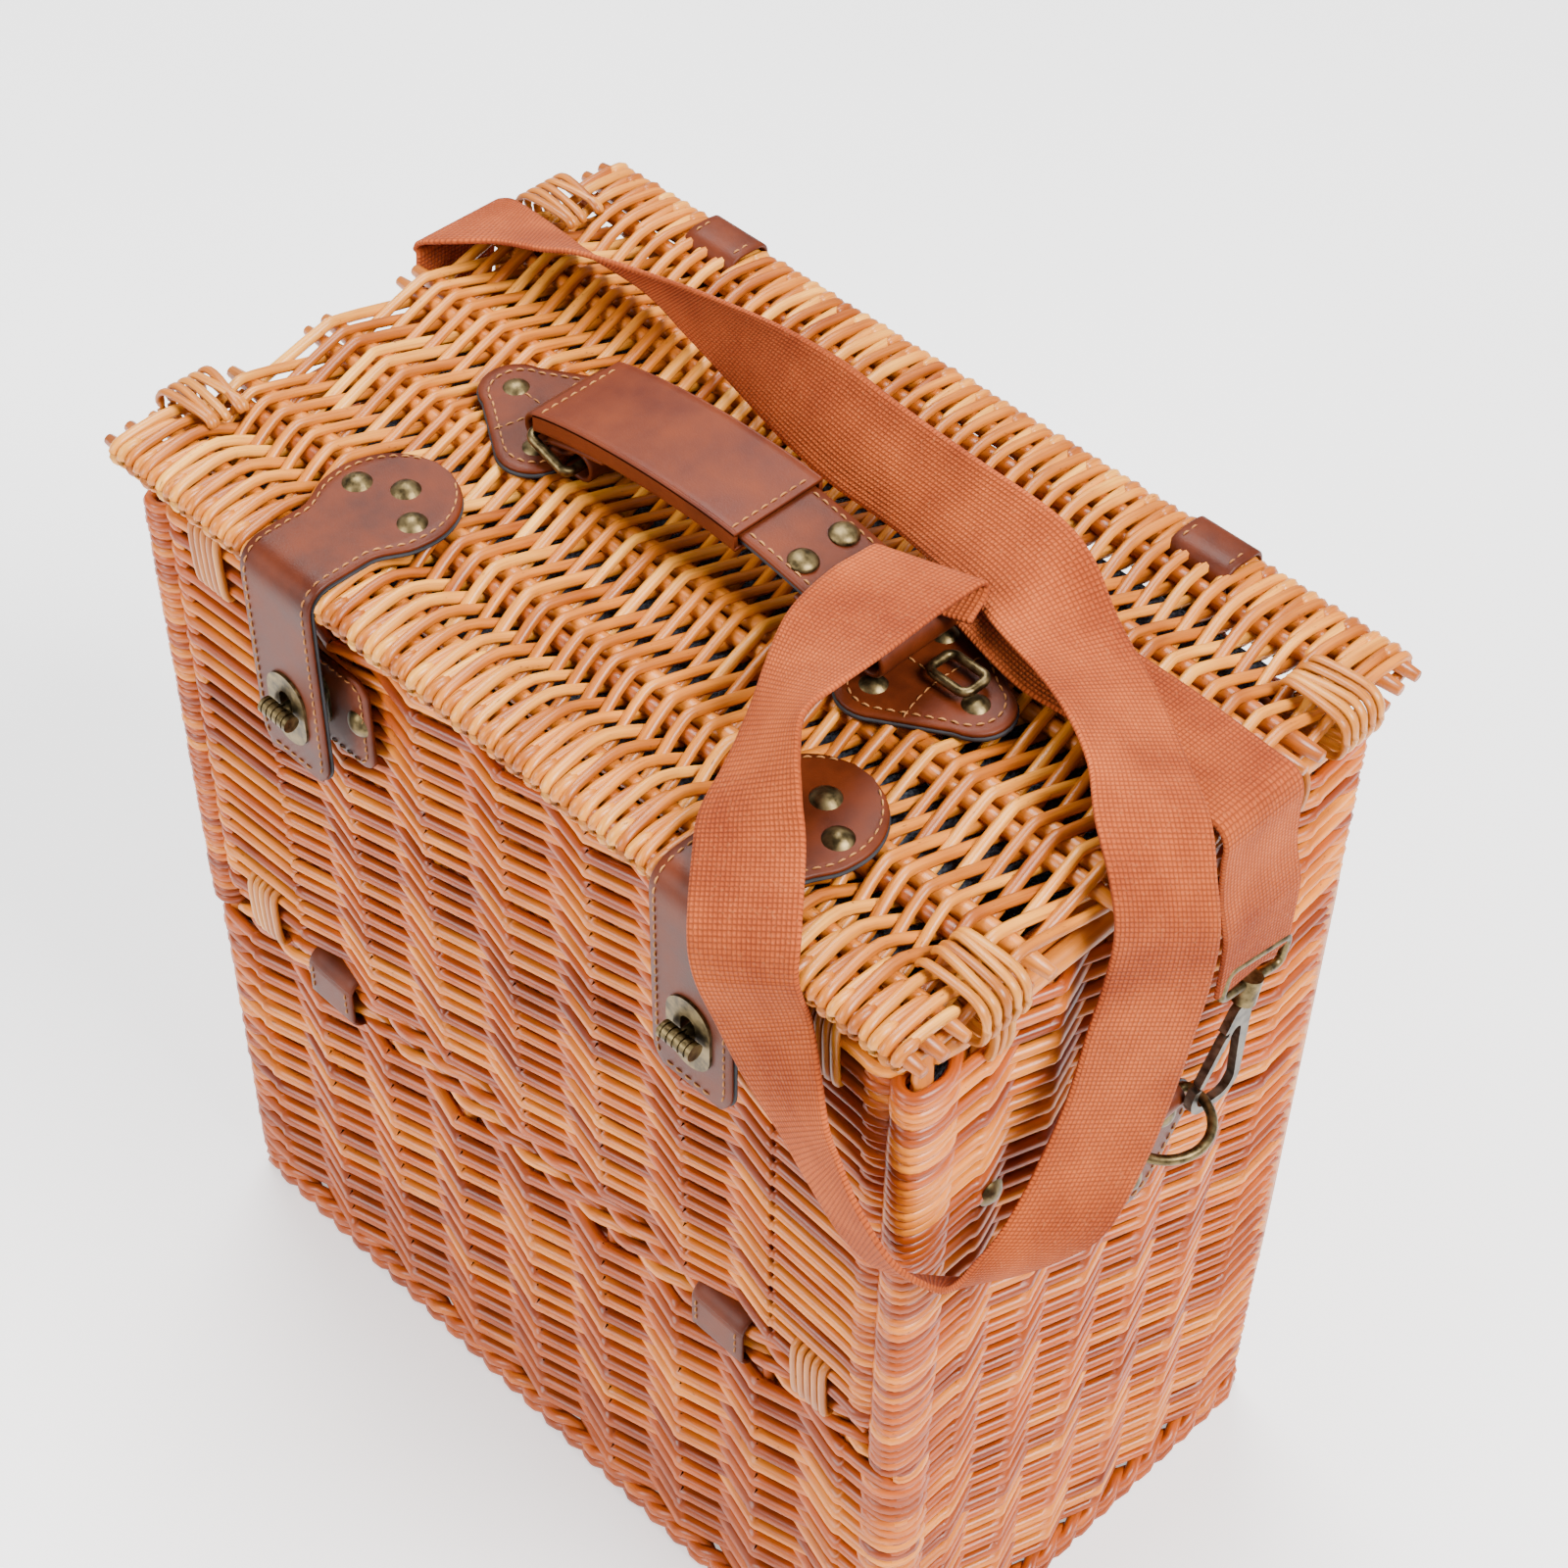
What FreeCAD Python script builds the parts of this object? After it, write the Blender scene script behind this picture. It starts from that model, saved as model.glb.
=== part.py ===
import FreeCAD
import Part
import math
import os

# Willow picnic hamper with a hinged lid, a drop-down front panel, a leather carry
# handle, two turn-lock closures and a webbing shoulder strap.
# Millimetres. X is width, Y is depth (front is -Y), Z is up.
# The origin is the centre of the base, on the floor.

V = FreeCAD.Vector
X_AXIS, Y_AXIS, Z_AXIS = V(1, 0, 0), V(0, 1, 0), V(0, 0, 1)
SIDES = (-1, 1)

# ---------------------------------------------------------------- basket body
BODY_HALF_X = 183.0
BODY_HALF_Y = 107.0
WALL = 12.0
BASE_T = 10.0
BORDER_OUT = 2.0
BORDER_CORNER_R = 6.0
POST_CORNER_R = 5.0
WALL_TOP = 381.0
POST_FRONT_Y = 92.0
POST_FRONT_TOP = 391.0
ROD_R = 4.5
RIM_Z = 386.0
RIM_RODS_OUT = (7.0, -2.5)
SKIN = 0.5
NUDGE = 0.01
LINING_T = 1.0
LINING_DROP = 12.0
LINING_FRONT_DROP = 14.0
IN_X = BODY_HALF_X - WALL
IN_Y = BODY_HALF_Y - WALL

# ------------------------------------------------------------- rear hinge line
REAR_ROD_Y = 105.0
LOOP_W = 25.0
LEATHER = 2.0
RUN_GAP = 0.3
LOOP_IN_R = ROD_R + SKIN
LOOP_OUT_R = LOOP_IN_R + LEATHER
REAR_LOOP_X = (-119.0, 109.0)
REAR_NOTCH_R = 15.0
LOOP_SIDE_GAP = 1.0
LOOP_BEHIND = 0.8
LOOP_BELOW = 2.0
LOOP_ABOVE = 0.4

# ------------------------------------------------------------------------ lid
LID_HALF_X = 184.0
LID_ROD_HALF_X = 188.0
LID_HALF_Y = 115.0
LID_Z0 = 394.0
LID_T = 12.0
LID_Z1 = LID_Z0 + LID_T
LID_ROD_R = 3.6
LID_GROUP_PITCH = 41.0
LID_PAIR_GAP = 8.4
LID_BAND_Y = (94.0, 103.8, 111.2)
LASH_Y = 81.0
LASH_W = 18.0
LASH_IN_X = 161.0
LASH_T = 3.0
LID_LINING_HALF = (150.0, 88.0)
LID_LINING_DROP = 1.4

# ---------------------------------------------------------- front panel, locks
PANEL_HALF_X = 169.5
SILL_Z = 171.0
FRONT_ROD_Y = -102.5
PANEL_PITCH = 12.0
PANEL_TOP_Z = 384.0
LOW_WALL_TOP = 166.0
PANEL_LASH_HALF = (7.0, 12.0)
PANEL_LASH_IN = (12.0, 16.0)
PANEL_LASH_T = 2.0
PANEL_LINING_IN = 4.0
PANEL_LINING_UP = 14.0
PANEL_LINING_DOWN = 8.0
FRONT_LOOP_X = (-108.0, 101.0)
FRONT_NOTCH_R = 10.6
LOCK_X = (-91.0, 102.0)
LOCK_Z = 348.0
PATCH_HALF_W = 30.0
PATCH_HALF_H = 20.0
LOCK_RIVET_DX = 22.0
RIVET_R = 5.2
RIVET_H = 2.6
SHANK_R = 1.5
SHANK = 8.0
LID_SHANK = 1.8
STEM_R = 2.5
KNOB_R = 3.1
KNOB_LEN = 14.0
KNOB_Y = -125.0
KNOB_GROOVES = 5
GROOVE_PITCH = 2.6
GROOVE_W = 0.8
GROOVE_DEPTH = 0.45
LOCK_PLATE_R = 8.0
LOCK_PLATE_RISE = 5.0
LOCK_PLATE_T = 1.2
BOSS_R = 5.0
BOSS_H = 4.2
STEM_SEAT = 0.7
TURN_GAP = 0.06

# ------------------------------------------------------------- closure straps
STRAP_T = 3.2
HEAD_Y = -72.0
HEAD_R = 24.5
NECK_HALF = 17.5
NECK_FALL = 34.0
RIVET_ARC = ((-14.0, -1.0), (0.0, 8.0), (14.0, -1.0))
STRAP_END_Y = -115.4
FLAP_AXIS_Y = -115.5
FLAP_AXIS_Z = LID_Z1 + STRAP_T
FLAP_OUT_Y = -120.2
FLAP_BOTTOM_Z = 322.0
SLOT_HALF_W = 3.2
SLOT_HALF_H = 7.6
COLLAR = 1.0
BEND_R = 2.6
EYELET_T = 1.2
EYELET_HALF_W = 9.5
EYELET_HALF_H = 15.0

# --------------------------------------------------------------- carry handle
HANDLE_Y = -3.0
PATCH_T = 2.4
OUTER_RIVET_X = 106.0
INNER_RIVET_X = 78.0
INNER_RIVET_DY = 16.0
LOBE_R = 13.0
TAB_X = 58.0
TAB_Z = LID_Z1 + 6.0
TAB_R = 4.6
TAB_SLACK = 1.8
TAB_HALF_W = 15.0
SKIRT_HALF = 2.5
WIRE_R = 1.8
WIRE_BEND = 3.0
ROLL_DROP = 2.0
RING_REACH_X = 18.0
RING_RISE = 6.0
RING_HALF_W = 20.4
GRIP_HALF_W = 17.0
GRIP_T = 4.5
SLEEVE_HALF_W = 19.5
SLEEVE_T = 2.0
FOLD_ROOM = 1.8
SLEEVE_LEFT = 66.0
SLEEVE_RIGHT = 20.0
CROWN_Z = LID_Z1 + 19.0
END_LOOP_R = 4.4
GRIP_RIVET_X = 40.0
GRIP_RIVET_DY = 9.0

# ------------------------------------------- side rings, hooks, shoulder strap
RING_Y = 2.0
SIDE_TAB_X = BODY_HALF_X + 6.0
SIDE_TAB_Z = 279.0
SIDE_RIVET_DY = 14.0
SIDE_RIVET_Z = 261.0
SIDE_LOW_RIVET_Z = 238.0
SIDE_TAB_HALF_W = 12.5
D_RADIUS = 16.5
D_LEG = 4.0
HOOK_OUT = 7.0
WALL_RIVET_Y = -70.0
WALL_RIVET_Z = 298.0
HOOK_T = 3.2
HOOK_Y = RING_Y + D_RADIUS + 6.5
EYE_Z = 326.0
EYE_RISE = 12.0
EYE_HALF_W = 16.0
HOOK_LEAN = 12.0
HOOK_OUTER_R = (8.8, 4.6)
HOOK_INNER_R = (5.8, 2.0)
JAW_OFF = V(0, 1.0, 2.4)
HEEL_OFF_Y = 2.0
NECK_DROP = 13.0
PEAK_DROP = 20.0
HOOK_STEM_R = 1.9
GATE_R = (1.5, 1.3)
EYE_WIRE_R = 1.6
BARREL_R = 4.2
SEW_HALF_T = 2.6
SLIDE_X = (88.0, 104.0)
SLIDE_Y = (-6.0, 5.0)
SLIDE_RISE = 7.5
LEFT_DROP_Y = 45.5
RIGHT_DROP_Y = 29.0
WEB_HALF_W = 19.0
WEB_T = 2.2


def save(name, solids):
    """Write the solids of one node as parts/name.step."""
    solids = solids if isinstance(solids, list) else [solids]
    shape = solids[0] if len(solids) == 1 else Part.makeCompound(solids)
    shape.exportStep("parts/" + name + ".step")


def box(x0, x1, y0, y1, z0, z1):
    """Box between two corners."""
    return Part.makeBox(x1 - x0, y1 - y0, z1 - z0, V(x0, y0, z0))


def rod(start, end, radius):
    """Round rod from start to end."""
    along = end - start
    return Part.makeCylinder(radius, along.Length, start, along)


def fuse(solids):
    """One clean solid out of several touching ones."""
    whole = solids[0]
    for solid in solids[1:]:
        whole = whole.fuse(solid)
    return whole.removeSplitter()


def cut(shape, tools):
    """Take every tool away from the shape."""
    for tool in tools:
        shape = shape.cut(tool)
    return shape


def prism(points, direction):
    """Straight extrusion of a closed polygon of points."""
    return Part.Face(Part.makePolygon(points + [points[0]])).extrude(direction)


def belt(centre_a, radius_a, centre_b, radius_b, depth):
    """Convex shape round two circles, centres in one plane, extruded by depth."""
    along = centre_b - centre_a
    normal = V(depth).normalize()
    lean = math.degrees(math.acos((radius_a - radius_b) / along.Length))
    unit = V(along).normalize()
    flank = []
    for turn in (lean, -lean):
        ray = FreeCAD.Rotation(normal, turn).multVec(unit)
        flank.append((centre_a + ray * radius_a, centre_b + ray * radius_b))
    middle = prism([flank[0][0], flank[0][1], flank[1][1], flank[1][0]], depth)
    end_a = Part.makeCylinder(radius_a, depth.Length, centre_a, depth)
    end_b = Part.makeCylinder(radius_b, depth.Length, centre_b, depth)
    return fuse([middle, end_a, end_b])


def rivet(centre, normal, shank):
    """Domed rivet cap standing on a surface, with its shank going down behind it."""
    sphere_r = (RIVET_R ** 2 + RIVET_H ** 2) / (2 * RIVET_H)
    ball = Part.makeSphere(sphere_r, centre + normal * (RIVET_H - sphere_r))
    cap = ball.common(Part.makeCylinder(RIVET_R, RIVET_H, centre, normal))
    return fuse([cap, rod(centre, centre - normal * shank, SHANK_R)])


def rivet_bores(centres, normal, shank):
    """The clearance the rivet shanks need in what they fasten."""
    return [rod(c, c - normal * shank, SHANK_R) for c in centres]


def wire_loop(corners, bend, radius):
    """Closed round wire through the corners, each one rounded to the bend radius."""
    edges = []
    count = len(corners)
    marks = []
    for i, corner in enumerate(corners):
        before = (corners[i - 1] - corner).normalize()
        after = (corners[(i + 1) % count] - corner).normalize()
        half = before.getAngle(after) / 2
        back = bend / math.tan(half)
        heart = corner + (before + after).normalize() * (bend / math.sin(half))
        middle = heart + (corner - heart).normalize() * bend
        marks.append((corner + before * back, middle, corner + after * back))
    for i in range(count):
        edges.append(Part.Arc(*marks[i]).toShape())
        edges.append(Part.makeLine(marks[i][2], marks[(i + 1) % count][0]))
    start = marks[0][2]
    heading = marks[1][0] - start
    ring = Part.Wire(Part.makeCircle(radius, start, heading))
    path = Part.Wire(edges[1:] + edges[:1])
    return path.makePipeShell([ring], True, False)


def ribbon(stations):
    """Flat webbing through stations of (centre, half width vector, thickness vector)."""
    rings = []
    for centre, half, thick in stations:
        rings.append([centre - half, centre + half, centre + half + thick, centre - half + thick])
    faces = []

    def triangle(a, b, c):
        faces.append(Part.Face(Part.makePolygon([a, b, c, a])))

    def quad(a, b, c, d):
        triangle(a, b, c)
        triangle(a, c, d)

    quad(*rings[0])
    quad(*reversed(rings[-1]))
    for near, far in zip(rings, rings[1:]):
        for k in range(4):
            quad(near[k], far[k], far[(k + 1) % 4], near[(k + 1) % 4])
    solid = Part.makeSolid(Part.makeShell(faces))
    if solid.Volume < 0:
        solid.reverse()
    return solid


def web(points):
    """Webbing through points of (place, direction across it), thickness on one face."""
    stations = []
    for i, (place, across) in enumerate(points):
        before = V(*points[max(i - 1, 0)][0])
        after = V(*points[min(i + 1, len(points) - 1)][0])
        run = after - before
        side = V(*across).normalize()
        face = run.cross(side).normalize()
        stations.append((V(*place), side * WEB_HALF_W, face * WEB_T))
    return ribbon(stations)


# ------------------------------------------------------------------ basket body
def rear_notches():
    """Room for the leather loops to turn round the rear rim rod."""
    reach = LOOP_W / 2 + LOOP_SIDE_GAP
    return [
        rod(V(x - reach, REAR_ROD_Y, RIM_Z), V(x + reach, REAR_ROD_Y, RIM_Z), REAR_NOTCH_R)
        for x in REAR_LOOP_X
    ]


def front_notches(z, radius):
    """Room for the front loops round a rod at height z."""
    reach = LOOP_W / 2 + LOOP_SIDE_GAP
    return [
        rod(V(x - reach, FRONT_ROD_Y, z), V(x + reach, FRONT_ROD_Y, z), radius)
        for x in FRONT_LOOP_X
    ]


def side_rivet_points(side):
    """Rivet seats of the ring tab on one side wall."""
    face = side * (BODY_HALF_X + PATCH_T)
    return [
        V(face, RING_Y - SIDE_RIVET_DY, SIDE_RIVET_Z),
        V(face, RING_Y + SIDE_RIVET_DY, SIDE_RIVET_Z),
        V(face, RING_Y, SIDE_LOW_RIVET_Z),
    ]


def wall_rivet_point(side):
    """Seat of the single rivet that holds the inner strap to a side wall."""
    return V(side * BODY_HALF_X, WALL_RIVET_Y, WALL_RIVET_Z)


def side_bores(side):
    """Shank bores in one side wall and its tab."""
    normal = X_AXIS * side
    return rivet_bores(side_rivet_points(side) + [wall_rivet_point(side)], normal, SHANK)


def build_body():
    """Base, walls, posts and rim rods."""
    save("base_panel", box(-IN_X, IN_X, -IN_Y, IN_Y, 0, BASE_T))
    out_x, out_y = BODY_HALF_X + BORDER_OUT, BODY_HALF_Y + BORDER_OUT
    rim = box(-out_x, out_x, -out_y, out_y, 0, BASE_T)
    upright = [e for e in rim.Edges if abs(e.tangentAt(e.FirstParameter).z) > 0.9]
    rim = rim.makeFillet(BORDER_CORNER_R, upright)
    save("base_border", rim.cut(box(-IN_X, IN_X, -IN_Y, IN_Y, 0, BASE_T)))

    back = box(-IN_X, IN_X, IN_Y, BODY_HALF_Y, BASE_T, WALL_TOP)
    save("back_wall", cut(back, rear_notches()))
    for side, name in zip(SIDES, ("left_wall", "right_wall")):
        near, far = sorted((side * IN_X, side * BODY_HALF_X))
        wall = box(near, far, -POST_FRONT_Y, IN_Y, BASE_T, WALL_TOP)
        save(name, cut(wall, side_bores(side)))
    low = box(-IN_X, IN_X, -BODY_HALF_Y, -IN_Y, BASE_T, LOW_WALL_TOP)
    save("front_lower_wall", cut(low, front_notches(SILL_Z, FRONT_NOTCH_R)))

    posts = []
    for side in SIDES:
        near, far = sorted((side * IN_X, side * BODY_HALF_X))
        front = box(near, far, -BODY_HALF_Y, -POST_FRONT_Y, BASE_T, POST_FRONT_TOP)
        rear = box(near, far, IN_Y, BODY_HALF_Y, BASE_T, WALL_TOP)
        for post, y in ((front, -BODY_HALF_Y), (rear, BODY_HALF_Y)):
            corner = [
                e for e in post.Edges
                if abs(e.tangentAt(e.FirstParameter).z) > 0.9
                and abs(e.CenterOfMass.x - side * BODY_HALF_X) < 0.1
                and abs(e.CenterOfMass.y - y) < 0.1
            ]
            posts.append(post.makeFillet(POST_CORNER_R, corner))
    save("corner_posts", posts)

    rods = [rod(V(-IN_X, REAR_ROD_Y, RIM_Z), V(IN_X, REAR_ROD_Y, RIM_Z), ROD_R)]
    for side in SIDES:
        for out in RIM_RODS_OUT:
            x = side * (IN_X + out)
            start = V(x, -POST_FRONT_Y + SKIN, RIM_Z)
            rods.append(rod(start, V(x, IN_Y - SKIN, RIM_Z), ROD_R))
    save("rim_rods", rods)
    sill = rod(V(-IN_X + SKIN, FRONT_ROD_Y, SILL_Z), V(IN_X - SKIN, FRONT_ROD_Y, SILL_Z), ROD_R)
    save("sill_rod", sill)


def build_body_lining():
    """Fabric lining inside the walls, low at the front where the panel drops."""
    gap = SKIN
    x, y = IN_X - gap, IN_Y - gap
    bag = box(-x, x, -y, y, BASE_T + gap, WALL_TOP - LINING_DROP)
    t = LINING_T
    bag = bag.cut(box(-x + t, x - t, -y + t, y - t, BASE_T + gap + t, WALL_TOP))
    bag = bag.cut(box(-x, x, -y - t, -y + 2 * t, LOW_WALL_TOP - LINING_FRONT_DROP, WALL_TOP))
    save("body_lining", bag)


# ------------------------------------------------------------------ side rings
def side_tab(side):
    """Leather tab on a side wall, rolled at its top round the bar of the D ring."""
    normal = X_AXIS * side
    face = side * BODY_HALF_X
    depth = normal * PATCH_T
    lobes = [V(face, p.y, p.z) for p in side_rivet_points(side)]
    plate = fuse([
        belt(lobes[0], LOBE_R, lobes[1], LOBE_R, depth),
        belt(lobes[1], LOBE_R, lobes[2], LOBE_R - NUDGE, depth),
        belt(lobes[2], LOBE_R, lobes[0], LOBE_R - NUDGE, depth),
    ])
    near, far = sorted((face, face + side * PATCH_T))
    front, rear = RING_Y - SIDE_TAB_HALF_W, RING_Y + SIDE_TAB_HALF_W
    neck = box(near, far, front, rear, SIDE_RIVET_Z, SIDE_TAB_Z)
    heart = V(side * SIDE_TAB_X, front, SIDE_TAB_Z)
    across = Y_AXIS * (2 * SIDE_TAB_HALF_W)
    root = V(face + side * TAB_R, front, SIDE_TAB_Z - ROLL_DROP)
    roll = belt(heart, TAB_R, root, TAB_R - NUDGE, across)
    bar = Part.makeCylinder(WIRE_R + SKIN, across.Length, heart, Y_AXIS)
    wall = box(-BODY_HALF_X, BODY_HALF_X, -BODY_HALF_Y, BODY_HALF_Y, 0, WALL_TOP)
    return cut(fuse([plate, neck, roll]), side_bores(side) + [bar, wall])


def d_ring(side):
    """Wire D ring, drawn level: its bar in the tab and its bow standing outward."""
    foot = side * SIDE_TAB_X
    knee = side * (SIDE_TAB_X + D_LEG)
    turn = foot + side * WIRE_BEND
    z = SIDE_TAB_Z
    front, rear = RING_Y - D_RADIUS, RING_Y + D_RADIUS
    bow = Part.Arc(V(knee, front, z), V(knee + side * D_RADIUS, RING_Y, z), V(knee, rear, z))
    tip = WIRE_BEND * math.sqrt(0.5)
    middle_a = V(turn - side * tip, rear - WIRE_BEND + tip, z)
    middle_b = V(turn - side * tip, front + WIRE_BEND - tip, z)
    corner_a = [V(turn, rear, z), V(foot, rear - WIRE_BEND, z)]
    corner_b = [V(foot, front + WIRE_BEND, z), V(turn, front, z)]
    path = Part.Wire([
        bow.toShape(),
        Part.makeLine(V(knee, rear, z), corner_a[0]),
        Part.Arc(corner_a[0], middle_a, corner_a[1]).toShape(),
        Part.makeLine(corner_a[1], corner_b[0]),
        Part.Arc(corner_b[0], middle_b, corner_b[1]).toShape(),
        Part.makeLine(corner_b[1], V(knee, front, z)),
    ])
    section = Part.Wire(Part.makeCircle(WIRE_R, V(knee, front, z), X_AXIS))
    return path.makePipeShell([section], True, False)


def build_side_rings():
    """Leather tabs, rivets and swinging D rings on the two side walls."""
    rivets = []
    for side, name in zip(SIDES, ("left", "right")):
        seats = side_rivet_points(side) + [wall_rivet_point(side)]
        rivets += [rivet(p, X_AXIS * side, SHANK) for p in seats]
        save("side_ring_" + name, d_ring(side))
    save("side_ring_tabs", [side_tab(side) for side in SIDES])
    save("side_rivets", rivets)


# ------------------------------------------------------------------------- lid
def lid_rod_lines():
    """Y of every rod of the lid: four pairs inside, three in each edge band."""
    lines = []
    for step in (-1.5, -0.5, 0.5, 1.5):
        for half in (-0.5, 0.5):
            lines.append(step * LID_GROUP_PITCH + half * LID_PAIR_GAP)
    for y in LID_BAND_Y:
        lines += [-y, y]
    return lines


def closure_rivet_points(x):
    """Three rivets of one closure strap, in an arc near the end of its head."""
    top = LID_Z1 + STRAP_T
    return [V(x + dx, HEAD_Y + dy, top) for dx, dy in RIVET_ARC]


def patch_rivet_points(side):
    """Three rivets of one handle patch."""
    top = LID_Z1 + PATCH_T
    return [
        V(side * OUTER_RIVET_X, HANDLE_Y, top),
        V(side * INNER_RIVET_X, HANDLE_Y - INNER_RIVET_DY, top),
        V(side * INNER_RIVET_X, HANDLE_Y + INNER_RIVET_DY, top),
    ]


def lid_bores():
    """Every rivet shank that enters the lid."""
    bores = []
    for x in LOCK_X:
        bores += rivet_bores(closure_rivet_points(x), Z_AXIS, STRAP_T + LID_SHANK)
    for side in SIDES:
        bores += rivet_bores(patch_rivet_points(side), Z_AXIS, PATCH_T + LID_SHANK)
    return bores


def rear_loop(x):
    """One leather loop from round the rear rim rod to over the lid's rear edge."""
    def outline(grow):
        centre = V(x - LOOP_W / 2, REAR_ROD_Y, RIM_Z)
        radius = LOOP_IN_R + grow
        y0, y1 = REAR_ROD_Y - radius, LID_HALF_Y + LOOP_BEHIND + grow
        z0, z1 = LID_Z0 - LOOP_BELOW - grow / 2, LID_Z1 + LOOP_ABOVE + grow
        corner = V(0, y1 - centre.y, z0 - centre.z)
        reach = corner.Length
        aim = math.atan2(corner.z, corner.y) - math.acos(radius / reach)
        touch = V(centre.x, centre.y + radius * math.cos(aim), centre.z + radius * math.sin(aim))
        points = [
            V(centre.x, y0, centre.z),
            V(centre.x, y0, z1),
            V(centre.x, y1, z1),
            V(centre.x, y1, z0),
            touch,
            centre,
        ]
        width = X_AXIS * LOOP_W
        return fuse([prism(points, width), Part.makeCylinder(radius, LOOP_W, centre, X_AXIS)])
    return outline(LEATHER).cut(outline(0.0))


def lashing(side, end):
    """Split-willow binding clamped round the end of the lid at one corner."""
    outer = side * (LID_ROD_HALF_X + LASH_T)
    inner = side * (LASH_IN_X - LASH_T)
    x0, x1 = sorted((outer, inner))
    y0, y1 = end * LASH_Y - LASH_W / 2, end * LASH_Y + LASH_W / 2
    ring = box(x0, x1, y0, y1, LID_Z0 - LASH_T, LID_Z1 + LASH_T)
    hole0, hole1 = sorted((side * LASH_IN_X, side * (LID_HALF_X + SKIN)))
    return ring.cut(box(hole0, hole1, y0, y1, LID_Z0, LID_Z1))


def build_lid():
    """Woven lid, its rods, corner bindings, lining and rear loops."""
    slab = box(-LID_HALF_X, LID_HALF_X, -LID_HALF_Y, LID_HALF_Y, LID_Z0, LID_Z1)
    middle = (LID_Z0 + LID_Z1) / 2
    rods = [
        rod(V(-LID_ROD_HALF_X, y, middle), V(LID_ROD_HALF_X, y, middle), LID_ROD_R)
        for y in lid_rod_lines()
    ]
    loops = [rear_loop(x) for x in REAR_LOOP_X]
    slots = []
    for x in REAR_LOOP_X:
        y0 = REAR_ROD_Y - LOOP_OUT_R
        slots.append(box(x - LOOP_W / 2, x + LOOP_W / 2, y0, y0 + LEATHER, LID_Z0, LID_Z1))
    lashings = [lashing(side, end) for side in SIDES for end in SIDES]
    bores = lid_bores()
    save("lid_weave", cut(slab, rods + slots + lashings + bores))
    save("lid_rods", rods)
    save("lid_lashings", lashings)
    save("rear_hinge_loops", loops)
    half_x, half_y = LID_LINING_HALF
    low = LID_Z0 - LID_LINING_DROP
    save("lid_lining", box(-half_x, half_x, -half_y, half_y, low, low + LINING_T))


# ------------------------------------------------------------- closure straps
def strap_slot(x, half_w, half_h):
    """Upright slot through the hanging flap at one lock."""
    low, high = LOCK_Z - half_h + half_w, LOCK_Z + half_h - half_w
    a, b = V(x, FLAP_OUT_Y - 4, low), V(x, FLAP_OUT_Y - 4, high)
    return belt(a, half_w, b, half_w - NUDGE, Y_AXIS * 10)


def closure_strap(x):
    """The part of a closure strap that lies riveted on the lid."""
    head = Part.makeCylinder(HEAD_R, STRAP_T, V(x, HEAD_Y, LID_Z1))
    shoulder = [
        V(x - HEAD_R, HEAD_Y, LID_Z1),
        V(x - NECK_HALF, HEAD_Y - NECK_FALL, LID_Z1),
        V(x - NECK_HALF, STRAP_END_Y, LID_Z1),
        V(x + NECK_HALF, STRAP_END_Y, LID_Z1),
        V(x + NECK_HALF, HEAD_Y - NECK_FALL, LID_Z1),
        V(x + HEAD_R, HEAD_Y, LID_Z1),
    ]
    strap = fuse([head, prism(shoulder, Z_AXIS * STRAP_T)])
    return cut(strap, rivet_bores(closure_rivet_points(x), Z_AXIS, STRAP_T + LID_SHANK))


def closure_flap(x):
    """The part of a closure strap that hangs over the lid's front edge."""
    inner = FLAP_OUT_Y + STRAP_T
    top = box(x - NECK_HALF, x + NECK_HALF, FLAP_OUT_Y, FLAP_AXIS_Y - 0.1, LID_Z1, FLAP_AXIS_Z)
    end_z = FLAP_BOTTOM_Z + NECK_HALF
    drop = box(x - NECK_HALF, x + NECK_HALF, FLAP_OUT_Y, inner, end_z, LID_Z1 + 1)
    tip = Part.makeCylinder(NECK_HALF, STRAP_T, V(x, FLAP_OUT_Y, end_z), Y_AXIS)
    tip = tip.common(box(x - NECK_HALF, x + NECK_HALF, FLAP_OUT_Y, inner, FLAP_BOTTOM_Z, end_z))
    flap = fuse([top, drop, tip])
    bend = [e for e in flap.Edges if abs(e.CenterOfMass.z - FLAP_AXIS_Z) < 0.1
            and abs(e.CenterOfMass.y - FLAP_OUT_Y) < 0.1]
    flap = flap.makeFillet(BEND_R, bend)
    return flap.cut(strap_slot(x, SLOT_HALF_W + COLLAR, SLOT_HALF_H + COLLAR))


def eyelet(x):
    """Oval metal plate with a collar lining the flap's slot."""
    y = FLAP_OUT_Y - EYELET_T
    low, high = LOCK_Z - EYELET_HALF_H + EYELET_HALF_W, LOCK_Z + EYELET_HALF_H - EYELET_HALF_W
    plate = belt(V(x, y, low), EYELET_HALF_W, V(x, y, high), EYELET_HALF_W - NUDGE,
                 Y_AXIS * EYELET_T)
    collar = strap_slot(x, SLOT_HALF_W + COLLAR, SLOT_HALF_H + COLLAR)
    depth = box(x - 20, x + 20, FLAP_OUT_Y, FLAP_OUT_Y + STRAP_T, LOCK_Z - 20, LOCK_Z + 20)
    collar = collar.common(depth)
    return fuse([plate, collar]).cut(strap_slot(x, SLOT_HALF_W, SLOT_HALF_H))


def build_closures():
    """Closure straps on the lid, their swinging flaps and slotted eyelet plates."""
    save("closure_straps", [closure_strap(x) for x in LOCK_X])
    rivets = []
    for x, name in zip(LOCK_X, ("left", "right")):
        rivets += [rivet(p, Z_AXIS, STRAP_T + LID_SHANK) for p in closure_rivet_points(x)]
        save("closure_flap_" + name, closure_flap(x))
        save("eyelet_plate_" + name, eyelet(x))
    save("closure_rivets", rivets)


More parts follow.
